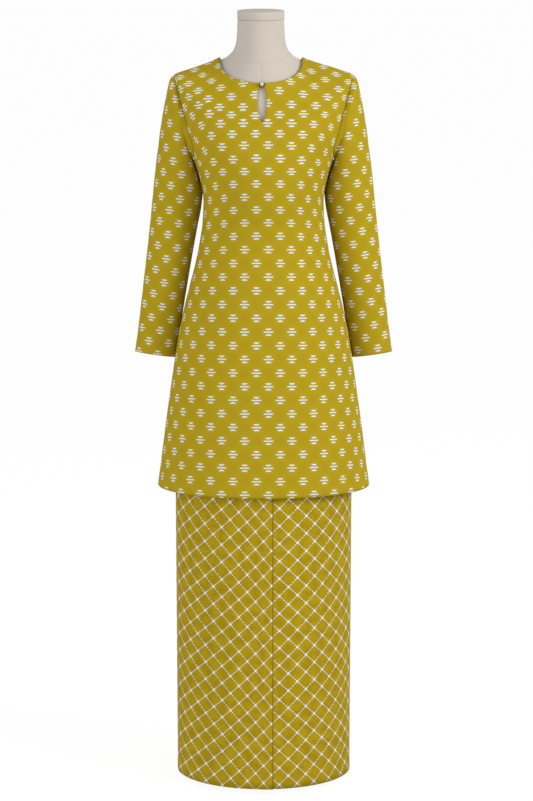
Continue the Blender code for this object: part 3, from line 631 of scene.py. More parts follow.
def finish_piece(name, bm, finish, slot, nodes=(), sharp=None):
    """Turns a bmesh into a smooth piece that rides with the body and stands for its nodes."""
    mesh = bpy.data.meshes.new(name)
    bm.to_mesh(mesh)
    bm.free()
    mesh.shade_smooth()
    if sharp:
        mesh.set_sharp_from_angle(angle=math.radians(sharp))
    mesh.materials.append(finish)
    piece = bpy.data.objects.new(name, mesh)
    bpy.context.scene.collection.objects.link(piece)
    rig.ride(piece, "root")
    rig.slot(piece, slot)
    if nodes:
        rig.replaces(piece, *nodes)
    return piece


def give_wall(piece, outward=1.0):
    """Gives a sheet its thickness. outward 1 puts the cloth outside the sheet, -1 inside it."""
    wall = piece.modifiers.new("wall", "SOLIDIFY")
    wall.thickness = CLOTH
    wall.offset = outward
    return piece


def declare_sheet(piece, sheet, held, rests_on):
    """States the size that the cloth was cut to, from its own coordinates."""
    spots = [spot for line in sheet.chart for spot in line]
    width, length = (max(values) - min(values) for values in zip(*spots))
    area = 0.0
    for above, below in zip(sheet.points, sheet.points[1:]):
        for corners in zip(above, above[1:], below[1:], below):
            area += (corners[2] - corners[0]).cross(corners[3] - corners[1]).length / 2
    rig.sheet(piece, flat=(width, length), held=held, rests_on=rests_on, area=min(area, width * length))


# ---------------------------------------------------------------- tunic
def hem_relief(along, rise):
    """How far a turned hem stands out at a height above its edge."""
    return rise * smooth_step(HEM_DEPTH + HEM_SLOPE, HEM_DEPTH, along)


def tunic_relief(level, share, along):
    """How far the tunic stands out at a point: its seams are drawn in, and its hem is turned."""
    side = abs(share)
    if level <= SHOULDER_ROW or level >= UNDERARM_ROW:
        relief = -SIDE_SEAM_SINK * smooth_step(SIDE_SEAM_START, 1.0, side)
    else:
        low = TOP_SINK + (1 - TOP_SINK) * smooth_step(7.0, 10.5, level)
        relief = -ARMHOLE_SEAM_SINK * smooth_step(ARMHOLE_SEAM_START, 1.0, side) * low
    return relief + hem_relief(along, HEM_RISE)


def running_means(line, reach):
    """Each entry of a list of equal tuples as the mean of those up to reach places away."""
    parts = (line[max(i - reach, 0):i + reach + 1] for i in range(len(line)))
    return [[sum(values) / len(part) for values in zip(*part)] for part in parts]


def figure_turns(sheet, first, print_lines, draw):
    """At each point of a grid from the sheet's column first, the two rows of the matrix that takes a step
    in the print to one in the figure. draw(row, column) gives how far the figure keeps its own shape,
    instead of the print's, and then the angle by which it leans and its width."""
    last_row, last = len(print_lines) - 1, len(print_lines[0]) - 1
    turns = []
    for j in range(last_row + 1):
        line = []
        for i in range(last + 1):
            left, right, above, below = max(i - 1, 0), min(i + 1, last), max(j - 1, 0), min(j + 1, last_row)
            aside, up = sheet.axes(j, first + i)
            across = sheet.points[j][first + right] - sheet.points[j][first + left]
            down = sheet.points[below][first + i] - sheet.points[above][first + i]
            on_cloth = Matrix(((across.dot(aside), down.dot(aside)), (across.dot(up), down.dot(up))))
            (u0, v0), (u1, v1) = print_lines[j][left], print_lines[j][right]
            (u2, v2), (u3, v3) = print_lines[above][i], print_lines[below][i]
            in_print = Matrix(((u1 - u0, u3 - u2), (v1 - v0, v3 - v2)))
            share, angle, width = draw(j, first + i)
            own = Matrix(((1 / width, 0), (0, 1))) @ Matrix.Rotation(-angle, 2)
            own = own @ on_cloth @ in_print.inverted()
            turn = own * share + Matrix.Identity(2) * (1 - share)
            line.append((*turn[0], *turn[1]))
        turns.append(running_means(line, TURN_REACH))
    columns = [running_means(column, TURN_REACH) for column in zip(*turns)]
    return [[(turn[:2], turn[2:]) for turn in line] for line in zip(*columns)]


def make_tunic_front(finish):
    """One panel from shoulder to hem, with the keyhole slit open from the neckline."""
    levels = tunic_levels()
    half = FRONT_HALF_COLUMNS
    shares = [k / half - 1 for k in range(2 * half + 1)]
    sheet = Pattern([[tunic_point(level, share) for share in shares] for level in levels], half,
                    [tunic_grain(level) for level in levels])
    halves = {-1: slice(0, half + 1), 1: slice(half, None)}
    printed = {-1: [], 1: []}
    for line, level in zip(sheet.chart, levels):
        for side in (-1, 1):
            spots = []
            for (u, v), share in zip(line[halves[side]], shares[halves[side]]):
                aside, down = print_slip(level, share, side)
                spots.append((u + aside, v + down))
            printed[side].append(spots)

    def draw(row, column):
        level, share = levels[row], shares[column]
        own = 1 - smooth_step(10.0, 13.0, level)
        if share > 0:
            return own * (1 - smooth_step(0.45, 0.6, share) * smooth_step(4.5, 6.0, level)), 0.0, 1.0
        steep = smooth_step(-0.5, -0.85, share) * smooth_step(6.2, 7.6, level)
        beside = smooth_step(-0.5, -0.9, share) * smooth_step(4.0, 5.5, level)
        lean = FIGURE_LEAN * beside + STEEP_LEAN * steep
        return own, math.radians(lean), 1 - STEEP_SQUEEZE * steep

    turns = {side: figure_turns(sheet, start, printed[side], draw) for side, start in ((-1, 0), (1, half))}
    top = tunic_point(0.0, 0.0).z
    rows = len(levels) - 1
    bm = bmesh.new()

    def place(i, j, side):
        row, column = rows - j, i + (half if side > 0 else 0)
        level, share = levels[row], shares[column]
        gap = side * keyhole_half_width(top - tunic_point(level, 0.0).z)
        moved = pushed_share(level, share, gap)
        point = tunic_point(level, moved) if moved != share else sheet.points[row][column].copy()
        point += sheet.normals[row][column] * tunic_relief(level, share, sheet.chart[row][half][1])
        return (point, chart_at(sheet.chart[row], shares, moved),
                chart_at(printed[side][row], shares[halves[side]], moved), *turns[side][row][i])

    for side in (-1, 1):
        lay_sheet(bm, half, rows, lambda i, j, side=side: place(i, j, side), TUNIC_LAYERS)
    bmesh.ops.remove_doubles(bm, verts=bm.verts, dist=WELD)
    piece = give_wall(finish_piece("tunic_front_panel", bm, finish, "tunic_print", ["tunic_front"]))
    declare_sheet(piece, sheet, "draped", ["form_linen_cover"])


def make_tunic_back(finish):
    """One panel from shoulder to hem."""
    levels = tunic_levels()
    columns = BACK_SHEET_COLUMNS
    shares = [1 - 2 * k / columns for k in range(columns + 1)]
    sheet = Pattern([[tunic_point(level, share, back=True) for share in shares] for level in levels],
                    columns // 2, [tunic_grain(level, True) for level in levels])
    rows = len(levels) - 1
    bm = bmesh.new()

    def place(i, j):
        row = rows - j
        level, share = levels[row], shares[i]
        u, v = sheet.chart[row][i]
        point = sheet.points[row][i].copy()
        point += sheet.normals[row][i] * tunic_relief(level, share, sheet.chart[row][columns // 2][1])
        return point, (u, v), (u + PRINT_SHIFT, v + print_slip(level, 0.0, 1)[1]), *STRAIGHT

    lay_sheet(bm, columns, rows, place, TUNIC_LAYERS)
    piece = give_wall(finish_piece("tunic_back_panel", bm, finish, "tunic_print", ["tunic_back"]))
    declare_sheet(piece, sheet, "draped", ["form_linen_cover"])


def sleeve_print(lie, u, v, way):
    """The coordinates in the print of a point of a sleeve whose front is where way * u is above 0."""
    lie = dict(zip(SLEEVE_PRINT_COLUMNS, lie))
    round_front = min(max(way * u, 0.0), SLEEVE_FRONT_WIDTH)
    across = lie["cuff_across"] + lie["rise_across"] * v + lie["round_across"] * round_front
    return u + across, v + lie["cuff_up"] + lie["rise_up"] * v


def make_sleeve(name, side, finish):
    """A set-in sleeve: a tube from the armhole to the open cuff, seamed underneath."""
    step = (UNDERARM_ROW - SHOULDER_ROW) * 2 / SLEEVE_AROUND
    levels = [k / SLEEVE_ROWS_PER_STEP for k in range(len(SLEEVE_ROWS) * SLEEVE_ROWS_PER_STEP + 1)]
    rings = sleeve_rings(step, levels)
    half = SLEEVE_AROUND // 2
    points = []
    for ring in rings:
        turned = [ring[(half - side * k) % SLEEVE_AROUND] for k in range(SLEEVE_AROUND + 1)]
        points.append([Vector((side * point.x, point.y, point.z)) for point in turned])
    lean = Vector((side * SLEEVE_LEAN.x, SLEEVE_LEAN.y, SLEEVE_LEAN.z))
    sheet = Pattern(points, half, [lean] * len(levels))
    for j in range(SLEEVE_HEAD_ROWS - 1, -1, -1):
        for i, point in enumerate(points[j]):
            rise, (u, v) = point - points[j + 1][i], sheet.chart[j + 1][i]
            aside, up = sheet.axes(j + 1, i)
            sheet.chart[j][i] = (u + rise.dot(aside), v + rise.dot(up))
    rows = len(levels) - 1
    lie = LEFT_SLEEVE_PRINT if side > 0 else RIGHT_SLEEVE_PRINT
    printed = [[sleeve_print(lie, u, v, -side) for u, v in line] for line in sheet.chart]
    turns = figure_turns(sheet, 0, printed, lambda row, column: (1.0, 0.0, SLEEVE_FIGURE_WIDTH))
    bm = bmesh.new()

    def place(i, j):
        row = rows - j
        u, v = sheet.chart[row][i]
        low = smooth_step(0.45, 0.85, abs(i - half) / half)
        relief = -SLEEVE_HEAD_SINK * smooth_step(0.5, 0.0, levels[row]) * (TOP_SINK + (1 - TOP_SINK) * low)
        relief -= UNDERARM_SEAM_SINK * smooth_step(half - 2.5, half, abs(i - half))
        relief += hem_relief(sheet.chart[row][half][1], CUFF_RISE)
        return sheet.points[row][i] + sheet.normals[row][i] * relief, (u, v), printed[row][i], *turns[row][i]

    lay_sheet(bm, SLEEVE_AROUND, rows, place, TUNIC_LAYERS)
    bmesh.ops.remove_doubles(bm, verts=bm.verts, dist=WELD)
    node = "sleeve_left" if side > 0 else "sleeve_right"
    piece = give_wall(finish_piece(name, bm, finish, "tunic_print", [node]), outward=-1.0)
    declare_sheet(piece, sheet, "hung", ["tunic_front_panel", "tunic_back_panel"])


# ---------------------------------------------------------------- skirt
def lattice_at(lattice, u, v):
    """The place of a point of the skirt's cloth between the lines of the lattice's two families."""
    across, up = u * 10, (v - LATTICE_HEIGHT) * 10
    return [start + lines * across + lattice["spread"] * across * across + way * LATTICE_UP * up
            for start, lines, way in zip(lattice["starts"], lattice["across"], (-1, 1))]


def make_skirt_panel(node, angles, finish, lattice, lapped=False):
    """A panel from the waistband to the hem. A lapped one rises over its neighbour at its last columns, and
    lattice says how the printed lattice lies on it."""
    steps = SKIRT_ROWS_PER_STEP
    rows = (len(SKIRT_ROWS) - 1) * steps
    centre = 180 if angles[0] > 45 else 0
    rises = []
    for angle in angles:
        t = smooth_step(SKIRT_SEAM_ANGLE - LAP_RAMP[0], SKIRT_SEAM_ANGLE - LAP_RAMP[1], angle)
        rises.append(LAP_RISE * t if lapped else 0.0)
    points = [[skirt_point(k / steps, angle, rise) for angle, rise in zip(angles, rises)]
              for k in range(rows + 1)]
    middle = min(range(len(angles)), key=lambda i: abs(angles[i] - centre))
    sheet = Pattern(points, middle, [UP] * (rows + 1))
    start = math.radians(angles[middle] - centre) * SKIRT_ROWS[-1][1]
    bm = bmesh.new()

    def place(i, j):
        row = rows - j
        u, v = sheet.chart[row][i]
        relief = hem_relief(v, HEM_RISE)
        if i in (0, len(angles) - 1) and not lapped:
            relief -= PANEL_EDGE_SINK
        point = sheet.points[row][i] + sheet.normals[row][i] * relief
        past_lap = math.radians(angles[i] - SKIRT_SEAM_ANGLE - LAP_ANGLE) * SKIRT_ROWS[-1][1]
        return point, (u, v), lattice_at(lattice, u + start, v), (past_lap, v)

    lay_sheet(bm, len(angles) - 1, rows, place, SKIRT_LAYERS)
    piece = give_wall(finish_piece(node + "_panel", bm, finish, "skirt_print", [node]))
    declare_sheet(piece, sheet, "hung", ["skirt_waistband_tube"])


def make_skirt(finish):
    """Two front panels that meet in a lapped seam, and a back panel."""
    seam, side = SKIRT_SEAM_ANGLE, SKIRT_SIDE
    lap = spread(seam - LAP_RAMP[0], seam - LAP_RAMP[1], LAP_RAMP_COLUMNS)
    lap += spread(seam - LAP_RAMP[1], seam + LAP_ANGLE, LAP_COLUMNS)[1:]
    right = spread(-side, lap[0], RIGHT_PANEL_COLUMNS) + lap[1:]
    left = spread(seam, side, LEFT_PANEL_COLUMNS)
    back = spread(180 - side, 180 + side, BACK_PANEL_COLUMNS)
    make_skirt_panel("skirt_front_right", right, finish, RIGHT_LATTICE, lapped=True)
    make_skirt_panel("skirt_front_left", left, finish, LEFT_LATTICE)
    make_skirt_panel("skirt_back", back, finish, BACK_LATTICE)


def make_waistband(finish):
    """An elastic band that stands on the panels' top edge, stretched round the form."""
    columns, rows = WAISTBAND_COLUMNS, WAISTBAND_ROWS
    edge = [skirt_point(0, 360 * (k % columns) / columns - 180, CLOTH) for k in range(columns + 1)]
    heights = [BAND_LIFT + BAND_HEIGHT * (1 - j / rows) for j in range(rows + 1)]
    points = [[point + UP * height for point in edge] for height in heights]
    sheet = Pattern(points, columns // 2, [UP] * (rows + 1))
    bm = bmesh.new()

    def place(i, j):
        u, v = sheet.chart[rows - j][i]
        return points[rows - j][i], (u, v), lattice_at(BACK_LATTICE, u, v), (FAR_FROM_LAP, v)

    lay_sheet(bm, columns, rows, place, SKIRT_LAYERS)
    bmesh.ops.remove_doubles(bm, verts=bm.verts, dist=WELD)
    piece = finish_piece("skirt_waistband_tube", bm, finish, "skirt_print", ["skirt_waistband"])
    declare_sheet(give_wall(piece, outward=-1.0), sheet, "stretched", ["form_linen_cover"])


# ---------------------------------------------------------------- dress form, button
def make_form(finish):
    """The linen cover of the torso and neck, in one skin with its seams drawn in."""
    rows = (len(form_table()) - 1) * FORM_ROWS_PER_STEP
    columns = FORM_SHEET_COLUMNS
    angles = spread(-180, 180, columns)
    points = [[form_point(k / FORM_ROWS_PER_STEP, angle) for angle in angles] for k in range(rows + 1)]
    sheet = Pattern(points, columns // 2, [UP] * (rows + 1))
    seam_heights = []
    for i, angle in enumerate(angles):
        drop = FORM_ROWS_PER_STEP * curve_value(NECK_SEAM, abs(angle))
        above, below = (sheet.chart[k][i][1] for k in (int(drop), int(drop) + 1))
        seam_heights.append(above + (below - above) * (drop - int(drop)))
    bm = bmesh.new()

    def place(i, j):
        row = rows - j
        u, v = sheet.chart[row][i]
        seam_u = min(abs(u), abs(abs(u) - sheet.chart[row][-1][0]))
        seam_v = v - seam_heights[i]
        relief = -NECK_SEAM_SINK * bump_at(seam_v, 0, SEAM_WIDTH)
        if seam_v < 0:
            relief -= TORSO_SEAM_SINK * bump_at(seam_u, 0, SEAM_WIDTH)
        return sheet.points[row][i] + sheet.normals[row][i] * relief, (u, v), (seam_u, seam_v)

    lay_sheet(bm, columns, rows, place, ("cloth", "seams"))
    bmesh.ops.remove_doubles(bm, verts=bm.verts, dist=WELD)
    bmesh.ops.holes_fill(bm, edges=[edge for edge in bm.edges if edge.is_boundary], sides=0)
    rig.padded(finish_piece("form_linen_cover", bm, finish, "form_linen", ["form_torso"]), fill=0.95)


def make_cap(finish):
    """The linen-covered disc that closes the neck."""
    top = dict(zip(BODY_COLUMNS, FORM_NECK_ROWS[0]))
    bm = bmesh.new()
    bmesh.ops.create_cone(bm, cap_ends=True, segments=96, radius1=1, radius2=1, depth=CAP_HEIGHT)
    bmesh.ops.scale(bm, vec=(CAP_HALF_WIDTH, CAP_HALF_DEPTH, 1), verts=bm.verts)
    rims = [edge for edge in bm.edges if abs(edge.verts[0].co.z - edge.verts[1].co.z) < CAP_BEVEL]
    bmesh.ops.bevel(bm, geom=rims, offset=CAP_BEVEL, segments=4, profile=0.5, affect="EDGES", material=-1)
    top_face = [face for face in bm.faces if face.normal.z > 0.9 and len(face.verts) > 10]
    climb = CAP_DOME / len(CAP_INSETS)
    for share in CAP_INSETS:
        bmesh.ops.inset_region(bm, faces=top_face, thickness=CAP_HALF_WIDTH * share, depth=climb)
    bmesh.ops.poke(bm, faces=top_face)
    middle_y = (top["front_y"] + top["back_y"]) / 2
    middle_z = (top["front_z"] + top["back_z"]) / 2
    lift = CAP_HEIGHT / 2 + CAP_GAP
    bmesh.ops.rotate(bm, verts=bm.verts, cent=(0, 0, 0), matrix=Matrix.Rotation(CAP_TILT, 3, "X"))
    bmesh.ops.translate(bm, verts=bm.verts, vec=(
        LEAN[-1], middle_y - math.sin(CAP_TILT) * lift, middle_z + math.cos(CAP_TILT) * lift))
    finish_piece("form_cap_cover", bm, finish, "form_linen", ["form_neck_cap"], sharp=50)


def make_button(pearl, cord):
    """A ball button at the top of the keyhole, in its loop of twisted cord."""
    facing = Vector((0, -math.sin(CHEST_TILT), math.cos(CHEST_TILT)))
    surface = tunic_point(BUTTON_LEVEL, 0.0) + facing * CLOTH
    bm = bmesh.new()
    bmesh.ops.create_uvsphere(bm, u_segments=32, v_segments=20, radius=BUTTON_RADIUS)
    bmesh.ops.rotate(bm, verts=bm.verts, cent=(0, 0, 0), matrix=UP.rotation_difference(facing).to_matrix())
    bmesh.ops.translate(bm, verts=bm.verts, vec=surface + facing * (BUTTON_RADIUS + BUTTON_AIR))
    finish_piece("pearl_button", bm, pearl, "pearl", ["button"])

    strands = bpy.data.curves.new("button_cord_loop", "CURVE")
    strands.dimensions = "3D"
    strands.bevel_depth = STRAND_RADIUS
    strands.bevel_resolution = 3
    turn = UP.rotation_difference(facing)
    centre = surface + facing * (LOOP_CORD_RADIUS + BUTTON_AIR)
    for phase in (0.0, math.pi):
        spline = strands.splines.new("POLY")
        spline.points.add(LOOP_POINTS - 1)
        for k, spot in enumerate(spline.points):
            around = 2 * math.pi * k / LOOP_POINTS
            twist = LOOP_TWISTS * around + phase
            out = LOOP_RADIUS + STRAND_OFFSET * math.cos(twist)
            local = Vector((out * math.cos(around), out * math.sin(around), STRAND_OFFSET * math.sin(twist)))
            spot.co = (*(centre + turn @ local), 1.0)
        spline.use_cyclic_u = True
    strands.materials.append(cord)
    loop = bpy.data.objects.new("button_cord_loop", strands)
    bpy.context.scene.collection.objects.link(loop)
    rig.ride(loop, "root")
    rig.slot(loop, "loop_cord")
    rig.replaces(loop, "button_loop")


# ---------------------------------------------------------------- finishes
class Value:
    """A shader socket in sums: an expression on it adds the Math nodes."""

    def __init__(self, finish, socket):
        self.finish, self.socket = finish, socket

    def math(self, operation, *terms):
        return self.finish.add("ShaderNodeMath", {"operation": operation}, terms)

    def __add__(self, other): return self.math("ADD", self, other)
    def __sub__(self, other): return self.math("SUBTRACT", self, other)
    def __rsub__(self, other): return self.math("SUBTRACT", other, self)
    def __mul__(self, other): return self.math("MULTIPLY", self, other)
    def __truediv__(self, other): return self.math("DIVIDE", self, other)
    def __rtruediv__(self, other): return self.math("DIVIDE", other, self)
    def __pow__(self, other): return self.math("POWER", self, other)
    def __mod__(self, other): return self.math("FLOORED_MODULO", self, other)
    def __abs__(self): return self.math("ABSOLUTE", self)
    def __round__(self): return self.math("ROUND", self)
    __radd__, __rmul__ = __add__, __mul__

    def most(self, other): return self.math("MAXIMUM", self, other)
    def sin(self): return self.math("SINE", self)
    def cos(self): return self.math("COSINE", self)

    def rise(self, low, high, to=1.0):
        """0 where this is below low, and the value of to above high, with a smooth step between."""
        settings = {"interpolation_type": "SMOOTHSTEP"}
        return self.finish.add("ShaderNodeMapRange", settings, (self, low, high, 0.0, to))


class Finish:
    """One material, built node by node round a Principled shader."""

    def __init__(self, name, **constants):
        self.material = bpy.data.materials.new(name)
        self.material.use_nodes = True
        self.tree = self.material.node_tree
        self.shader = self.tree.nodes["Principled BSDF"]
        for socket, value in constants.items():
            self.shader.inputs[socket.replace("_", " ")].default_value = value

    def add(self, kind, settings=None, inputs=(), output=0):
        """A node of this kind. Settings are set first, then its inputs, by place or by name."""
        node = self.tree.nodes.new(kind)
        for key, value in (settings or {}).items():
            if key == "stops":
                ramp = node.color_ramp
                while len(ramp.elements) < len(value):
                    ramp.elements.new(0.5)
                for element, (position, colour) in zip(ramp.elements, value):
                    element.position, element.color = position, (*colour, 1.0)
            else:
                setattr(node, key, value)
        pairs = inputs.items() if isinstance(inputs, dict) else enumerate(inputs)
        for key, value in pairs:
            self.put(value, node.inputs[key])
        return Value(self, node.outputs[output])

    def put(self, value, socket):
        """Links a value to a socket, or sets the number or colour on it."""
        if isinstance(value, Value):
            self.tree.links.new(value.socket, socket)
        elif value is not None:
            socket.default_value = value

    def set(self, name, value):
        """Feeds one of the shader's own inputs."""
        self.put(value, self.shader.inputs[name])

    def cloth(self, layer):
        """The two cloth coordinates of a UV layer."""
        spot = self.add("ShaderNodeUVMap", {"uv_map": layer})
        parts = self.tree.nodes.new("ShaderNodeSeparateXYZ")
        self.tree.links.new(spot.socket, parts.inputs[0])
        return Value(self, parts.outputs[0]), Value(self, parts.outputs[1])

    def place(self):
        """The Object coordinates, whole and as three values."""
        whole = self.add("ShaderNodeTexCoord", None, (), "Object")
        parts = self.tree.nodes.new("ShaderNodeSeparateXYZ")
        self.tree.links.new(whole.socket, parts.inputs[0])
        return whole, *(Value(self, output) for output in parts.outputs)

    def spot(self, x, y, z=0.0):
        """A vector of three values."""
        return self.add("ShaderNodeCombineXYZ", None, (x, y, z))

    def noise(self, where, scale, detail=2.0, roughness=0.5):
        """Smooth noise from 0 to 1."""
        return self.add("ShaderNodeTexNoise", None,
                        {"Vector": where, "Scale": scale, "Detail": detail, "Roughness": roughness})

    def mix(self, share, first, second):
        """A colour between two."""
        node = self.tree.nodes.new("ShaderNodeMix")
        node.data_type = "RGBA"
        for value, socket in ((share, node.inputs[0]), (first, node.inputs[6]), (second, node.inputs[7])):
            if isinstance(value, tuple):
                value = (*value, 1.0)
            self.put(value, socket)
        return Value(self, node.outputs[2])

    def bump(self, height, distance, strength=1.0):
        """Relief too fine for the mesh."""
        sockets = {"Height": height, "Distance": distance, "Strength": strength}
        self.set("Normal", self.add("ShaderNodeBump", None, sockets))


MUSTARD, MUSTARD_DARK = (0.450, 0.325, 0.0085), (0.380, 0.271, 0.0075)
SKIRT_MUSTARD, SKIRT_MUSTARD_DARK = (0.430, 0.299, 0.004), (0.344, 0.236, 0.003)
PRINT_WHITE, SKIRT_PRINT_WHITE = (0.69, 0.765, 0.84), (0.74, 0.765, 0.77)
LINEN, LINEN_DARK, LINEN_SEAM = (0.62, 0.564, 0.494), (0.48, 0.427, 0.366), (0.16, 0.13, 0.10)
CREPE_THREAD, LINEN_THREAD = 0.0007, 0.0008  # metres from one thread to the next
STITCH_WIDTH, STITCH_SOFTNESS = 0.0008, 0.0006
WORN_PRINT, PRINT_WEAR = 0.86, 0.14  # how white the worn print is, and how much whiter where it isn't worn

# the tunic's printed figure, in mm: a bar with a bowl above it and a dome below it
FIGURE_ACROSS, FIGURE_ROW = 45.5, 26.0
BAR_HALF_LENGTH, BAR_HALF_HEIGHT = 9.4, 1.10
BOWL_HALF_WIDTH, BOWL_TOP, BOWL_DEPTH = 5.6, 6.8, 3.0
DOME_HALF_WIDTH, DOME_FOOT, DOME_HEIGHT = 5.7, -6.8, 3.0
PRINT_SOFTNESS = 0.35


def inside(distance):
    """1 inside a printed shape and 0 outside it, from the distance in mm to its edge."""
    return distance.rise(-PRINT_SOFTNESS, PRINT_SOFTNESS)


def inside_oval(x, y, half_width, half_height):
    """1 inside a printed oval and 0 outside it, at x and y from its middle."""
    return inside((1 - ((x / half_width) ** 2 + (y / half_height) ** 2) ** 0.5) * half_height)


def weave(finish):
    """The crossing of warp and weft as a height from 0 to 1, with slight unevenness."""
    u, v = finish.cloth("cloth")
    wobble = finish.noise(finish.spot(u, v), 900.0, 1.0) * 0.6
    warp = (u * (2 * math.pi / CREPE_THREAD) + wobble).sin()
    weft = (v * (2 * math.pi / CREPE_THREAD) + wobble).sin()
    return warp * weft * 0.5 + 0.5


def tunic_finish():
    """Mustard crepe with the scattered white figure."""
    finish = Finish("mustard_figured_crepe", Roughness=0.85, Specular_IOR_Level=0.10)
    u, v = finish.cloth("print")
    column, height = (u - PRINT_SHIFT) * (1000 / FIGURE_ACROSS), v * (1000 / FIGURE_ROW)
    row = round(height)
    across = column + (row % 2) * 0.5
    print_x, print_y = (across - round(across)) * FIGURE_ACROSS, (height - row) * FIGURE_ROW
    x, y = (print_x * turn_x + print_y * turn_y for turn_x, turn_y in map(finish.cloth, TUNIC_LAYERS[2:]))
    side = abs(x)
    past_end = (side - (BAR_HALF_LENGTH - BAR_HALF_HEIGHT)).most(0.0)
    bar = inside(BAR_HALF_HEIGHT - (past_end ** 2 + y * y) ** 0.5)
    bowl = inside_oval(x, y - BOWL_TOP, BOWL_HALF_WIDTH, BOWL_DEPTH) * inside(BOWL_TOP - y)
    dome = inside_oval(x, y - DOME_FOOT, DOME_HALF_WIDTH, DOME_HEIGHT) * inside(y - DOME_FOOT)
    figure = bar.most(bowl).most(dome)
    tone = (column * (2 * math.pi)).cos() * (height * math.pi).cos() * 0.5 + 0.5
    where = finish.spot(u, v)
    cloud = finish.noise(where, 14.0, 3.0)
    ground = finish.mix(tone * 0.6 + cloud * 0.4, MUSTARD_DARK, MUSTARD)
    wear = finish.noise(where, 420.0, 2.0).rise(0.25, 0.62)
    finish.set("Base Color", finish.mix(figure * (wear * PRINT_WEAR + WORN_PRINT), ground, PRINT_WHITE))
    finish.bump(weave(finish) * 0.7 + finish.noise(where, 1500.0, 1.0) * 0.3, 0.00008, 0.35)
    return finish.material


# the skirt's printed lattice, in shares of a diamond's side: three dashes between two small square crossings
DASH_STEPS, DASH_HALF_LENGTH, DASH_HALF_WIDTH, NODE_HALF = 4, 0.080, 0.032, 0.140
DASH_SOFTNESS = 0.012
PAINTED_SHADE_REACH = 0.0016  # how far from the lap's edge the cloth is painted darker, as painted shade in the lapped seam's crease
# the colour and the strength of the painted shade beside the lap's edge
LAP_SHADE, LAP_SHADE_SHARE = (0.16, 0.10, 0.002), 0.55


def skirt_finish():
    """Mustard crepe with the white dashed lattice, and painted shade along the lap's edge."""
    finish = Finish("mustard_lattice_crepe", Roughness=0.85, Specular_IOR_Level=0.10)
    s, t = finish.cloth("print")
    near_s, near_t = abs(s - round(s)), abs(t - round(t))
    figure = (NODE_HALF - (near_s ** 1.2 + near_t ** 1.2) ** (1 / 1.2)).rise(-DASH_SOFTNESS, DASH_SOFTNESS)
    for across, along in ((near_s, near_t), (near_t, near_s)):
        from_middle = abs(along - round(along * DASH_STEPS) / DASH_STEPS)
        past_end = (from_middle - (DASH_HALF_LENGTH - DASH_HALF_WIDTH)).most(0.0)
        dash = (DASH_HALF_WIDTH - (past_end ** 2 + across ** 2) ** 0.5).rise(-DASH_SOFTNESS, DASH_SOFTNESS)
        figure = figure.most(dash * along.rise(0.12, 0.13))
    where = finish.spot(s, t)
    cloud = finish.noise(where, 1.3, 2.0).rise(0.3, 0.7)
    ground = finish.mix(cloud, SKIRT_MUSTARD_DARK, SKIRT_MUSTARD)
    wear = finish.noise(where, 14.0, 2.0).rise(0.25, 0.62)
    cloth = finish.mix(figure * (wear * PRINT_WEAR + WORN_PRINT), ground, SKIRT_PRINT_WHITE)
    # painted shade: the cloth is darkened next to the lap's edge, where the seam's crease lies in shade
    past_lap, _ = finish.cloth("seams")
    painted_lap_shade = (PAINTED_SHADE_REACH - abs(past_lap)).rise(0.0, PAINTED_SHADE_REACH)
    finish.set("Base Color", finish.mix(painted_lap_shade * LAP_SHADE_SHARE, cloth, LAP_SHADE))
    finish.bump(weave(finish), 0.00008, 0.35)
    return finish.material


def linen_finish(seams):
    """Undyed linen stretched over padding, with its slubs, and with its sewn seams on the torso."""
    finish = Finish("form_linen_seamed" if seams else "form_linen", Roughness=0.85, Sheen_Weight=0.05,
                    Sheen_Roughness=0.6, Specular_IOR_Level=0.15)
    place, x, y, z = finish.place()
    thread = 2 * math.pi / LINEN_THREAD
    warp = ((x + y) * thread).sin()
    weft = (z * thread).sin()
    slub = finish.noise(finish.spot(x * 60.0, y * 60.0, z * 1400.0), 1.0, 2.0)
    slub_up = finish.noise(finish.spot(x * 1400.0, y * 1400.0, z * 60.0), 1.0, 2.0)
    cloud = finish.noise(place, 16.0, 3.0)
    tone = (slub + slub_up) * 0.35 + cloud * 0.3
    linen = finish.mix(tone, LINEN_DARK, LINEN)
    if seams:
        seam_u, seam_v = finish.cloth("seams")
        round_neck = (STITCH_WIDTH - abs(seam_v)).rise(0.0, STITCH_SOFTNESS)
        down_torso = (STITCH_WIDTH - seam_u).rise(0.0, STITCH_SOFTNESS) * (0.0 - seam_v).rise(0.0, 0.001)
        linen = finish.mix(round_neck.most(down_torso) * 0.15, linen, LINEN_SEAM)
    finish.set("Base Color", linen)
    finish.bump(warp * weft * 0.3 + slub + slub_up, 0.00015, 0.4)
    return finish.material


def steel_finish():
    """Satin steel, brushed along the stand."""
    finish = Finish("stand_steel", Metallic=1.0)
    place, x, y, z = finish.place()
    brushed = finish.noise(finish.spot(x * 900.0, y * 900.0, z * 12.0), 1.0, 2.0)
    scuffs = finish.noise(place, 45.0, 4.0)
    finish.set("Base Color", finish.mix(scuffs, (0.50, 0.50, 0.51), (0.62, 0.62, 0.63)))
    finish.set("Roughness", brushed * 0.16 + scuffs * 0.12 + 0.24)
    finish.bump(brushed, 0.00003, 0.3)
    return finish.material


def pearl_finish():
    """Pearl lustre on a ball button, with painted shade that darkens its rim."""
    finish = Finish("pearl_lustre", Roughness=0.22, Coat_Weight=0.6, Coat_Roughness=0.08,
                    Specular_IOR_Level=0.6)
    place, *_ = finish.place()
    cloud = finish.noise(place, 260.0, 3.0)
    # painted shade: the colour turns darker brown towards the rim, where the ball turns away from view
    edge = finish.add("ShaderNodeLayerWeight", None, {"Blend": 0.35}, "Facing")
    body = finish.mix(cloud, (0.56, 0.48, 0.34), (0.72, 0.65, 0.50))
    finish.set("Base Color", finish.mix(edge * 0.6, body, (0.40, 0.26, 0.10)))
    return finish.material


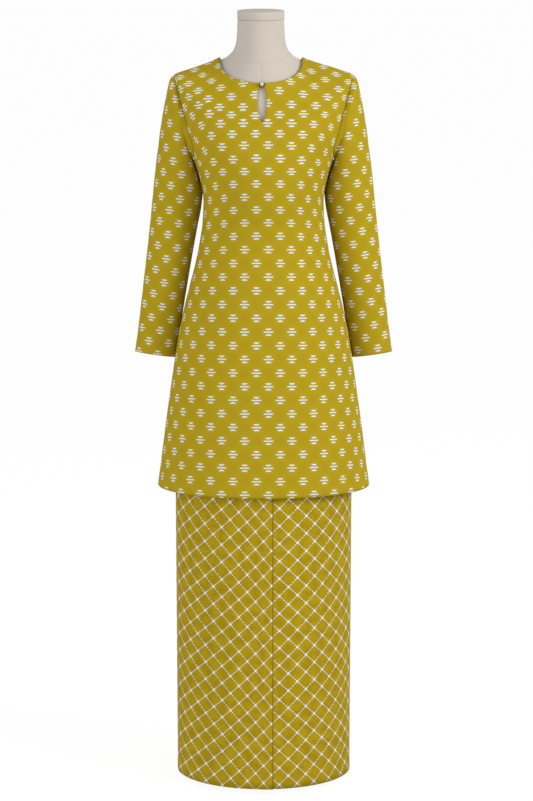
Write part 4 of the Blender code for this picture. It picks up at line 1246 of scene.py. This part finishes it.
def cord_finish():
    """Dark mustard cord."""
    finish = Finish("loop_cord", Roughness=0.8, Sheen_Weight=0.2)
    place = finish.add("ShaderNodeTexCoord", None, (), "Object")
    fibre = finish.noise(place, 2200.0, 3.0)
    finish.set("Base Color", finish.mix(fibre, (0.035, 0.022, 0.008), (0.10, 0.065, 0.02)))
    finish.bump(fibre, 0.0001, 0.5)
    return finish.material


# ---------------------------------------------------------------- studio
ROOM_LIGHT, BACKDROP, FLOOR_GLOW = 0.60, 0.985, 0.925
LENS, SENSOR_WIDTH = 107.87, 36.0  # mm
CAMERA_PLACE, CAMERA_TILT = (0.0057, -4.6, 1.62), math.radians(79.376)


def add_camera():
    """A long lens a little above the shoulders."""
    lens = bpy.data.cameras.new("camera")
    lens.lens = LENS
    lens.sensor_width = SENSOR_WIDTH
    lens.clip_end = 60.0
    camera = bpy.data.objects.new("camera", lens)
    camera.location = CAMERA_PLACE
    camera.rotation_euler = (CAMERA_TILT, 0.0, 0.0)
    bpy.context.scene.collection.objects.link(camera)
    bpy.context.scene.camera = camera


def add_lamp(name, place, target, size, power, colour=(1.0, 1.0, 1.0)):
    """A square softbox at a place, turned to a target."""
    lamp = bpy.data.lights.new(name, "AREA")
    lamp.size, lamp.energy, lamp.color = size, power, colour
    holder = bpy.data.objects.new(name, lamp)
    holder.location = place
    holder.rotation_euler = (Vector(target) - Vector(place)).to_track_quat("-Z", "Y").to_euler()
    bpy.context.scene.collection.objects.link(holder)


def add_floor():
    """A wide white floor that glows a little, so that it stays pale right up to the hem."""
    finish = Finish("pale_floor", Roughness=0.9, Base_Color=(0.10, 0.10, 0.10, 1.0), Specular_IOR_Level=0.0,
                    Emission_Color=(1.0, 1.0, 1.0, 1.0), Emission_Strength=FLOOR_GLOW)
    bm = bmesh.new()
    bmesh.ops.create_grid(bm, x_segments=8, y_segments=8, size=100.0)
    mesh = bpy.data.meshes.new("floor")
    bm.to_mesh(mesh)
    bm.free()
    mesh.materials.append(finish.material)
    floor = bpy.data.objects.new("floor", mesh)
    floor.visible_diffuse = floor.visible_glossy = False
    bpy.context.scene.collection.objects.link(floor)
    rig.stage(floor)


def add_studio():
    """Plain white surroundings with a large soft key and fill."""
    world = bpy.data.worlds.new("studio")
    world.use_nodes = True
    tree = world.node_tree
    room = tree.nodes["Background"]
    room.inputs["Color"].default_value = (1.0, 1.0, 1.0, 1.0)
    room.inputs["Strength"].default_value = ROOM_LIGHT
    white = tree.nodes.new("ShaderNodeBackground")
    white.inputs["Color"].default_value = (BACKDROP, BACKDROP, BACKDROP, 1.0)
    rays, either = tree.nodes.new("ShaderNodeLightPath"), tree.nodes.new("ShaderNodeMixShader")
    tree.links.new(rays.outputs["Is Camera Ray"], either.inputs[0])
    tree.links.new(room.outputs[0], either.inputs[1])
    tree.links.new(white.outputs[0], either.inputs[2])
    tree.links.new(either.outputs[0], tree.nodes["World Output"].inputs["Surface"])
    bpy.context.scene.world = world
    bpy.context.scene.view_settings.view_transform = "Standard"
    add_lamp("key", (3.14, -1.81, 2.6), (0.0, 0.0, 0.9), 1.6, 95.0)
    add_lamp("fill", (-2.6, -2.9, 1.4), (0.0, 0.0, 0.7), 2.0, 52.0)
    add_floor()


# ==== BUILD
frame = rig.load()
cad_box = [list(corner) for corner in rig.bounds()]

add_camera()
add_studio()
tunic_cloth, skirt_cloth, steel = tunic_finish(), skirt_finish(), steel_finish()
make_form(linen_finish(seams=True))
make_cap(linen_finish(seams=False))
make_waistband(skirt_cloth)
make_skirt(skirt_cloth)
make_tunic_front(tunic_cloth)
make_tunic_back(tunic_cloth)
make_sleeve("sleeve_left_tube", 1, tunic_cloth)
make_sleeve("sleeve_right_tube", -1, tunic_cloth)
make_button(pearl_finish(), cord_finish())
for name in ("stand_base", "stand_pole", "stand_collar"):
    frame["nodes"][name].material_slots[0].material = steel

with open("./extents.json", "w") as out:
    json.dump({"cad": cad_box, "visual": [list(corner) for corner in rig.bounds()]}, out)
